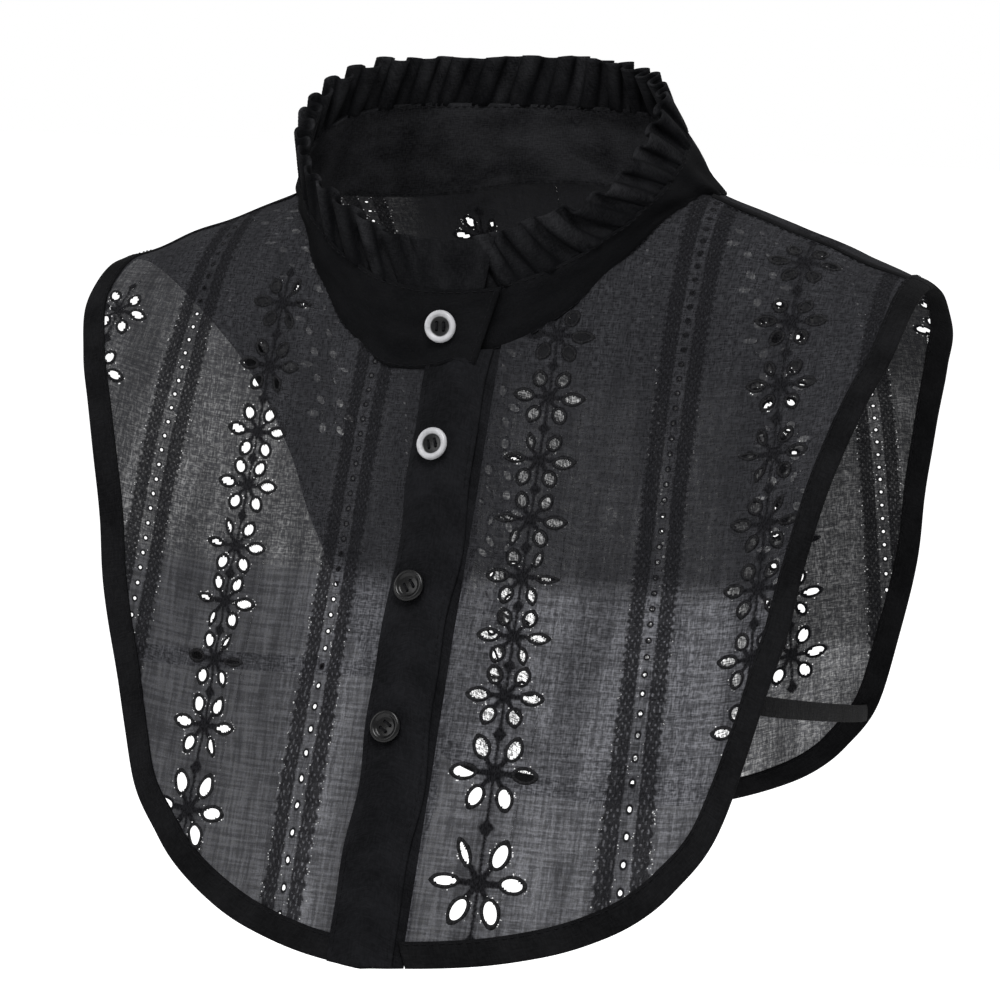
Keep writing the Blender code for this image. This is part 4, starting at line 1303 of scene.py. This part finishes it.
# Painted light and shade: the outer face is drawn at 0.22 of the tone and the inner face at full, so the
# inside of the stand is painted paler.
cotton_lit_paint = np.broadcast_to(np.where(outer, 0.22, 1.0), (STAND_ROWS, STAND_RING))
stand = piece("collar_band", points, grid_faces(STAND_ROWS, STAND_RING, round_columns=True), stand_cotton,
              ["collar_stand"], flat_map, {"cotton_lit_paint": cotton_lit_paint})
close_ends(stand)

rows = []
surface = STAND_WALL / 2 - STAND_STITCH
for level in (0.045, 0.955):
    for face in (1.0, -1.0):
        line = stand_point(shares, np.full(STAND_ROWS, level), face * surface)
        rows.append((line, stand_out(-TAB_TURN + shares * WHOLE) * face))
tab_rise = np.linspace(0.05, 0.95, 40)
tab_share = np.full(40, 1.0 - 0.0016 / NECK_ROUND)
rows.append((stand_point(tab_share, tab_rise, surface), stand_out(-TAB_TURN + tab_share * WHOLE)))
stitch_rows("collar_band_stitches", rows)

# %% [markdown]
# ## The frill
#
# A doubled strip about twice as long as the stand is gathered into its top seam. At the seam the gathers
# are many and small, and towards the free edge they open into fewer broad folds that all lean one way.
# A cloth simulation could do this, but the folds here need to lie where they were pressed, so they are
# waves whose height and lean grow with the distance from the seam.

# %% Frill
FRILL_HEIGHT = 0.0175
FRILL_LEAN_IN = 0.0025
FRILL_ASIDE = -0.0028
FRILL_FOLDS = 34
FRILL_DEPTH = 0.0031
FRILL_TURNED = 0.0013
FRILL_SLANT = 4.2
FRILL_THICK = 0.0009
FRILL_GATHER = 0.00045
FRILL_SEAT = 0.0012
FRILL_STRIP = 0.9
FRILL_ROWS = 15
FRILL_COLUMNS = 1400


def fold_phase(turn, rise):
    """Where a point is in the run of folds, which drift, crowd and lean."""
    return FRILL_FOLDS * turn + FRILL_SLANT * rise + 1.5 * np.sin(2.3 * turn + 0.7) + 0.9 * np.sin(5.1 * turn)


def looseness(share):
    """None at the two ends, which lie flat one over the other, and full between them."""
    ends = np.minimum(share, 1.0 - share) * WHOLE
    return smooth_step((ends - TAB_TURN) / (1.6 * TAB_TURN))


def frill_point(share, rise):
    turn = -TAB_TURN + share * WHOLE
    bottom, top = stand_rise(turn)
    upward = unit(top - bottom)
    out = stand_out(turn)
    along_way = unit(np.cross(upward, out))
    loose = looseness(share)
    wave = fold_phase(turn, rise)
    size = 0.80 + 0.20 * np.sin(3.1 * turn + 0.6) + 0.16 * np.sin(7.7 * turn + 2.0)
    opened = 0.12 + 0.88 * rise ** 0.7
    depth = FRILL_DEPTH * loose * opened * size
    turned = FRILL_TURNED * loose * opened * size
    gathers = FRILL_GATHER * np.sin(3.7 * wave + 2.0 * np.sin(wave))
    gathers = gathers * np.clip(1 - rise * 1.8, 0, 1) ** 1.2 * (0.35 + 0.65 * loose)
    aside = -turned * np.sin(2 * wave) + 0.0060 * rise * smooth_step((share - 0.965) / 0.035)
    height = FRILL_HEIGHT * (1.0 + 0.035 * np.sin(5 * turn) * loose + 0.02 * loose * np.sin(wave * 0.5 + 1.0))
    seated = top - upward * FRILL_SEAT + out * lap(share, 2 * FRILL_THICK + 0.0004)[..., None]
    upright = np.array([0.0, 0.0, 0.5]) + upward * 0.5
    shift = np.array([FRILL_ASIDE, 0.0, 0.0]) - out * FRILL_LEAN_IN
    return (seated + upright * (height * rise)[..., None] + shift * rise[..., None]
            + out * (np.sin(wave) * depth + gathers)[..., None] + along_way * aside[..., None])


share_grid = np.linspace(0.0, 1.0, FRILL_COLUMNS)[:, None] * np.ones(FRILL_ROWS)
rise_grid = np.ones((FRILL_COLUMNS, 1)) * np.linspace(0.0, 1.0, FRILL_ROWS)
points = frill_point(share_grid, rise_grid)
phase = fold_phase(-TAB_TURN + share_grid * WHOLE, rise_grid)
# Painted light and shade: the folds' crests, outward and inward, are drawn paler and their flanks darker,
# more so towards the free edge; the flat ends keep one middle tone.
painted_light = 0.94 * np.abs(np.sin(phase)) ** 1.3 * (0.35 + 0.65 * rise_grid)
cotton_lit_paint = 0.06 + painted_light * (0.72 + 0.28 * np.sin(0.5 * phase + 1.0))
cotton_lit_paint = 0.35 + (cotton_lit_paint - 0.35) * looseness(share_grid)
frill = piece("gathered_frill", points, grid_faces(FRILL_COLUMNS, FRILL_ROWS), frill_cotton, ["neck_frill"],
              map_of(share_grid * FRILL_STRIP, rise_grid * FRILL_HEIGHT), {"cotton_lit_paint": cotton_lit_paint})
doubled = frill.modifiers.new("doubled", "SOLIDIFY")
doubled.thickness = FRILL_THICK
doubled.offset = 0.0

# %% [markdown]
# ## The placket
#
# The placket is two doubled bands, the buttonhole band over the button band, which peeps out along one
# side. Each is a flat tube like the binding, wider and crisper, with a stitch line near each long edge.

# %% Placket
BAND_THICK = 0.0014
BAND_LIFT = 0.00085
BAND_STITCH = 0.0018
BAND_ROWS = 240
BAND_RING = 32


def hem_length(x):
    line = OUTLINES[True, 1]
    return np.interp(np.abs(x), line[::-1, 0], line[::-1, 1])


def band_sway(length):
    """How far the soft band strays sideways as it goes down."""
    return 0.0008 * np.sin(length / 0.0125 + 0.8) + 0.0004 * np.sin(length / 0.0063)


def down_band(x, down, first, last):
    """Lengths down a band from the neck to the hem; it starts and stops short by first and last."""
    share = (x - NECK_ASIDE) / NECK_HALF
    start = (NECK_FRONT - first) * np.sqrt(1 - share ** 2) ** NECK_SCOOP
    return start + (hem_length(x) - last - start) * down


def front_band(name, left, right, lift, node):
    across, height = flat_section(BAND_RING, BAND_THICK / 2, 0.3)
    down = np.linspace(0.0, 1.0, BAND_ROWS)
    x = np.broadcast_to(left + (right - left) * across[None], (BAND_ROWS, BAND_RING))
    length = down_band(x, down[:, None], 0.0012, 0.0)
    soft = 0.00045 * np.sin(length / 0.009 + x / 0.004) + 0.00035 * np.sin(length / 0.0052 - x / 0.003)
    soft = soft * np.sin(across * np.pi)[None]
    points = cloth(x + band_sway(length), length, 0.0, lift + height[None] + soft)
    flat_map = map_of(x + (height[None] > 0) * 0.03, length)
    close_ends(piece(name, points, grid_faces(BAND_ROWS, BAND_RING, round_columns=True), cotton, [node],
                     flat_map))
    lines = []
    for inset in (BAND_STITCH, right - left - BAND_STITCH):
        x = np.full(BAND_ROWS, left + inset)
        length = down_band(x, down, 0.0, 0.001)
        line = cloth(x + band_sway(length), length, 0.0, lift + BAND_THICK / 2 - 0.0001)
        lines.append((line, cloth_out(x, length)))
    return lines


half = PLACKET_WIDTH / 2
under_edge = half + UNDER_PEEP
seams = front_band("buttonhole_band", -half, half, BAND_LIFT, "placket_over")
seams += front_band("button_band", under_edge - UNDER_WIDTH, under_edge, -BAND_LIFT, "placket_under")
stitch_rows("placket_stitches", seams)

# %% [markdown]
# ## Buttons
#
# A shirt button is turned: a raised rim, a dished middle and four holes. It is made as a lathe profile,
# with its holes cut through, and sewn on with two parallel loops of thread. Two have a pale rim, a painted
# reflection of a broad lamp in a glossy black rim, round a dark middle, and two are black.

# %% Button materials
def button_material(name, rim, middle, rough, coat):
    made, tree, shader, flat = start_material(name, rough, 0.3)
    shader.inputs["Coat Weight"].default_value = coat
    shader.inputs["Coat Roughness"].default_value = 0.08
    place = tree.nodes.new("ShaderNodeSeparateXYZ")
    tree.links.new(flat, place.inputs[0])
    swirl = noise(tree, flat, 260.0, 3.0)
    inner = between(tree, place.outputs["Y"], 0.0031, 0.0036, 1.0, 0.0)
    rim_tone = grey_mix(tree, between(tree, swirl, 0.3, 0.7), tuple(c * 0.72 for c in rim), rim)
    middle_tone = grey_mix(tree, between(tree, swirl, 0.3, 0.7), tuple(c * 0.5 for c in middle), middle)
    tint(tree, shader, inner, rim_tone, middle_tone)
    tree.links.new(between(tree, swirl, 0.2, 0.8, rough * 0.8, rough * 1.3), shader.inputs["Roughness"])
    bump(tree, shader, swirl, 0.00006, 0.5)
    return made


# Painted reflection: the pale rim stands for a broad lamp mirrored in a glossy black rim; the dark middle is
# the button's own black.
painted_reflection_button = button_material("pale_button", (0.55, 0.55, 0.57), (0.006, 0.006, 0.007), 0.30, 0.15)
black_gloss = button_material("black_button", (0.003, 0.003, 0.0034), (0.003, 0.003, 0.0034), 0.26, 0.1)

# %% Buttons
BUTTON_RADIUS = 0.0054
BUTTON_THICK = 0.0026
BUTTON_ROUND = 48
BUTTON_PROFILE = (
    {"out": 0.00, "up": -1.00},
    {"out": 0.72, "up": -1.00},
    {"out": 0.93, "up": -0.62},
    {"out": 1.00, "up": 0.05},
    {"out": 0.985, "up": 0.50},
    {"out": 0.93, "up": 0.85},
    {"out": 0.85, "up": 0.98},
    {"out": 0.77, "up": 0.96},
    {"out": 0.69, "up": 0.72},
    {"out": 0.62, "up": 0.36},
    {"out": 0.54, "up": 0.22},
    {"out": 0.00, "up": 0.18},
)
HOLE_SPREAD = 0.0012
HOLE_RADIUS = 0.00055
BUTTONS = (
    {"node": "button_1", "finish": painted_reflection_button, "slot": "pale_button"},
    {"node": "button_2", "finish": painted_reflection_button, "slot": "pale_button"},
    {"node": "button_3", "finish": black_gloss, "slot": "black_button"},
    {"node": "button_4", "finish": black_gloss, "slot": "black_button"},
)


def node_frame(node):
    """A solid button's middle, and the way that its face looks, which is across its thinnest side."""
    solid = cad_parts[node]
    points = np.array([solid.matrix_world @ v.co for v in solid.data.vertices])
    middle = (points.max(0) + points.min(0)) / 2
    normal = np.linalg.svd(points - points.mean(0), full_matrices=False)[2][2]
    if normal[1] > 0:
        normal = -normal
    return middle, normal


def turned_button(number, row):
    middle, normal = node_frame(row["node"])
    out = Vector(normal)
    side = Vector((0.0, 0.0, 1.0)).cross(out).normalized()
    up_way = out.cross(side).normalized()
    spin = 0.35 * number
    across = side * math.cos(spin) + up_way * math.sin(spin)
    above = up_way * math.cos(spin) - side * math.sin(spin)
    place = Matrix.Translation(middle) @ Matrix((across, above, out)).transposed().to_4x4()
    turned = bmesh.new()
    rings = []
    for point in BUTTON_PROFILE:
        radius, height = point["out"] * BUTTON_RADIUS, point["up"] * BUTTON_THICK / 2
        if radius == 0.0:
            rings.append([turned.verts.new((0.0, 0.0, height))])
            continue
        rings.append([turned.verts.new((radius * math.cos(a), radius * math.sin(a), height))
                      for a in np.linspace(0.0, 2 * np.pi, BUTTON_ROUND, endpoint=False)])
    for first, second in zip(rings, rings[1:]):
        for index in range(BUTTON_ROUND):
            after = (index + 1) % BUTTON_ROUND
            if len(first) == 1:
                turned.faces.new((first[0], second[after], second[index]))
            elif len(second) == 1:
                turned.faces.new((first[index], first[after], second[0]))
            else:
                turned.faces.new((first[index], first[after], second[after], second[index]))
    bmesh.ops.recalc_face_normals(turned, faces=turned.faces)
    mesh = bpy.data.meshes.new("turned_" + row["node"])
    turned.to_mesh(mesh)
    turned.free()
    made = bpy.data.objects.new("turned_" + row["node"], mesh)
    bpy.context.scene.collection.objects.link(made)
    drills = bmesh.new()
    for x in (-HOLE_SPREAD, HOLE_SPREAD):
        for y in (-HOLE_SPREAD, HOLE_SPREAD):
            bmesh.ops.create_cone(drills, cap_ends=True, segments=14, depth=3 * BUTTON_THICK,
                                  radius1=HOLE_RADIUS, radius2=HOLE_RADIUS,
                                  matrix=Matrix.Translation((x, y, 0)))
    drill_mesh = bpy.data.meshes.new("drills")
    drills.to_mesh(drill_mesh)
    drills.free()
    drill = bpy.data.objects.new("drills", drill_mesh)
    bpy.context.scene.collection.objects.link(drill)
    cut = made.modifiers.new("holes", "BOOLEAN")
    cut.operation = "DIFFERENCE"
    cut.solver = "EXACT"
    cut.object = drill
    drilled = bpy.data.meshes.new_from_object(made.evaluated_get(bpy.context.evaluated_depsgraph_get()))
    made.modifiers.clear()
    made.data = drilled
    bpy.data.objects.remove(drill, do_unlink=True)
    layer = drilled.uv_layers.new(name="flat")
    for loop in drilled.loops:
        co = drilled.vertices[loop.vertex_index].co
        layer.data[loop.index].uv = (math.atan2(co.y, co.x) * 0.003, math.hypot(co.x, co.y))
    for vertex in drilled.vertices:
        vertex.co = place @ vertex.co
    drilled.materials.clear()
    drilled.materials.append(row["finish"])
    drilled.shade_smooth()
    drilled.set_sharp_from_angle(angle=math.radians(50))
    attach(made, "root")
    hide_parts(row["node"])
    return place


def loop_of_thread(place, start, end):
    """One strand over the button's face between two holes, and down through both."""
    points = []
    for share in np.linspace(0.0, 1.0, 9):
        x = start[0] + (end[0] - start[0]) * share
        y = start[1] + (end[1] - start[1]) * share
        bow = math.sin(math.pi * share)
        points.append((x, y, BUTTON_THICK / 2 * 0.18 + 0.00012 + 0.00035 * bow))
    points.insert(0, (start[0], start[1], -BUTTON_THICK * 0.5))
    points.append((end[0], end[1], -BUTTON_THICK * 0.5))
    return np.array([tuple(place @ Vector(p)) for p in points])


def tube(points, radius, sides=7):
    ways = unit(np.gradient(points, axis=0))
    guide = np.array([0.31, 0.2, 0.93])
    beside = unit(np.cross(ways, guide))
    above = np.cross(beside, ways)
    turn = np.linspace(0.0, 2 * np.pi, sides, endpoint=False)
    return (points[:, None] + beside[:, None] * np.cos(turn)[None, :, None] * radius
            + above[:, None] * np.sin(turn)[None, :, None] * radius)


strands = []
for number, row in enumerate(BUTTONS):
    place = turned_button(number, row)
    for x in (-HOLE_SPREAD, HOLE_SPREAD):
        for shift in (-THREAD_THICK, THREAD_THICK):
            ring = tube(loop_of_thread(place, (x + shift, -HOLE_SPREAD), (x + shift, HOLE_SPREAD)), 0.00017)
            along, around = np.indices(ring.shape[:2])
            strands.append((ring[None], map_of(along * 0.0004, around * 0.0001)))
joined_tubes("button_threads", strands, thread)

# %% [markdown]
# ## Side elastics
#
# A flat woven elastic joins the front to the back below each arm. It is a thin ribbed ribbon, sewn to the
# inside of both bindings, and it bows out a little as it would round a body.

# %% Elastics
STRAP_WIDTH = 0.0065
STRAP_THICK = 0.0011
STRAP_FRONT_DROP = 0.128
STRAP_BACK_DROP = 0.169
STRAP_BOW = 0.010
STRAP_LAP = 0.0045
STRAP_CLEAR = 0.0016
STRAP_ROWS = 90
STRAP_RING = 24


def side_elastic(name, side, node):
    starts, leaves, ups, outs = [], [], [], []
    for front, level in ((True, STRAP_FRONT_DROP), (False, STRAP_BACK_DROP)):
        edge = smooth_path(outline(front, side), 160)
        heights = plain_cloth(edge[:, 0], edge[:, 1])[:, 2]
        index = int(np.argmax(heights < -level))
        x, length = edge[index] + inward(edge, front)[index] * STRAP_LAP
        here = plain_cloth(x, length)
        out = cloth_out(x, length)
        starts.append(here - out * (STRAP_CLEAR + STRAP_THICK / 2))
        leaves.append(unit(plain_cloth(x + 0.001, length) - here) * STRAP_BOW)
        ups.append(unit(here - plain_cloth(x, length + (0.001 if front else -0.001))) * STRAP_WIDTH)
    share = np.linspace(0.0, 1.0, STRAP_ROWS)
    eased = (share * share * (3 - 2 * share) * 0.5 + share * 0.5)[:, None]
    rest = 1.0 - eased
    line = (starts[0] * rest ** 3 + (starts[0] + leaves[0]) * 3 * rest * rest * eased
            + (starts[1] + leaves[1]) * 3 * rest * eased ** 2 + starts[1] * eased ** 3)
    wide = ups[0] * rest + ups[1] * eased
    normal = unit(np.cross(np.gradient(line, axis=0), wide))
    across, height = flat_section(STRAP_RING, STRAP_THICK / 2, 0.5)
    ribs = 0.00008 * np.cos(across * 2 * np.pi * 6)
    ribbed = (height + ribs * np.sign(height))[None, :, None]
    points = line[:, None] + wide[:, None] * (across - 0.5)[None, :, None] + normal[:, None] * ribbed
    flat_map = map_of(share[:, None] * 0.2, across[None] * STRAP_WIDTH)
    faces = grid_faces(STRAP_ROWS, STRAP_RING, round_columns=True)
    made = piece(name, points * np.array([side, 1.0, 1.0]), faces, elastic, [node], flat_map)
    close_ends(made, True)


side_elastic("elastic_left", 1, "strap_left")
side_elastic("elastic_right", -1, "strap_right")

# %% [markdown]
# ## Shoulder seams
#
# Front and back meet in a narrow raised seam just forward of the shoulder's highest line. It is a thin
# rounded cord of folded cloth with a stitch line beside it.

# %% Shoulder seams
SEAM_ROWS = 90
SEAM_RING = 12
SEAM_WIDTH = 0.0032


def shoulder_seam(side):
    start = NECK_ASIDE * side + NECK_HALF * math.sin(seam_turn(0.0))
    x = np.linspace(start, shoulder_end(side) - BINDING_WIDTH * 0.5, SEAM_ROWS) * side
    across, height = flat_section(SEAM_RING, 0.0006, 0.6)
    length = SEAM_FORWARD + (across - 0.5) * SEAM_WIDTH
    points = cloth(x[:, None], length[None], 0.0, height[None] + 0.0001)
    return points, x


rows = []
for side, label in ((1, "left"), (-1, "right")):
    points, x = shoulder_seam(side)
    flat_map = map_of(x[:, None], np.arange(SEAM_RING)[None] * 0.0006)
    piece("shoulder_seam_" + label, points, grid_faces(SEAM_ROWS, SEAM_RING, round_columns=True), bias,
          flat_map=flat_map)
    for face in (1.0, -1.0):
        line = np.full(SEAM_ROWS, SEAM_FORWARD + 0.0024)
        normal = cloth_out(x, line) * face
        rows.append((cloth(x, line) + normal * 0.0001, normal))
stitch_rows("shoulder_stitches", rows)
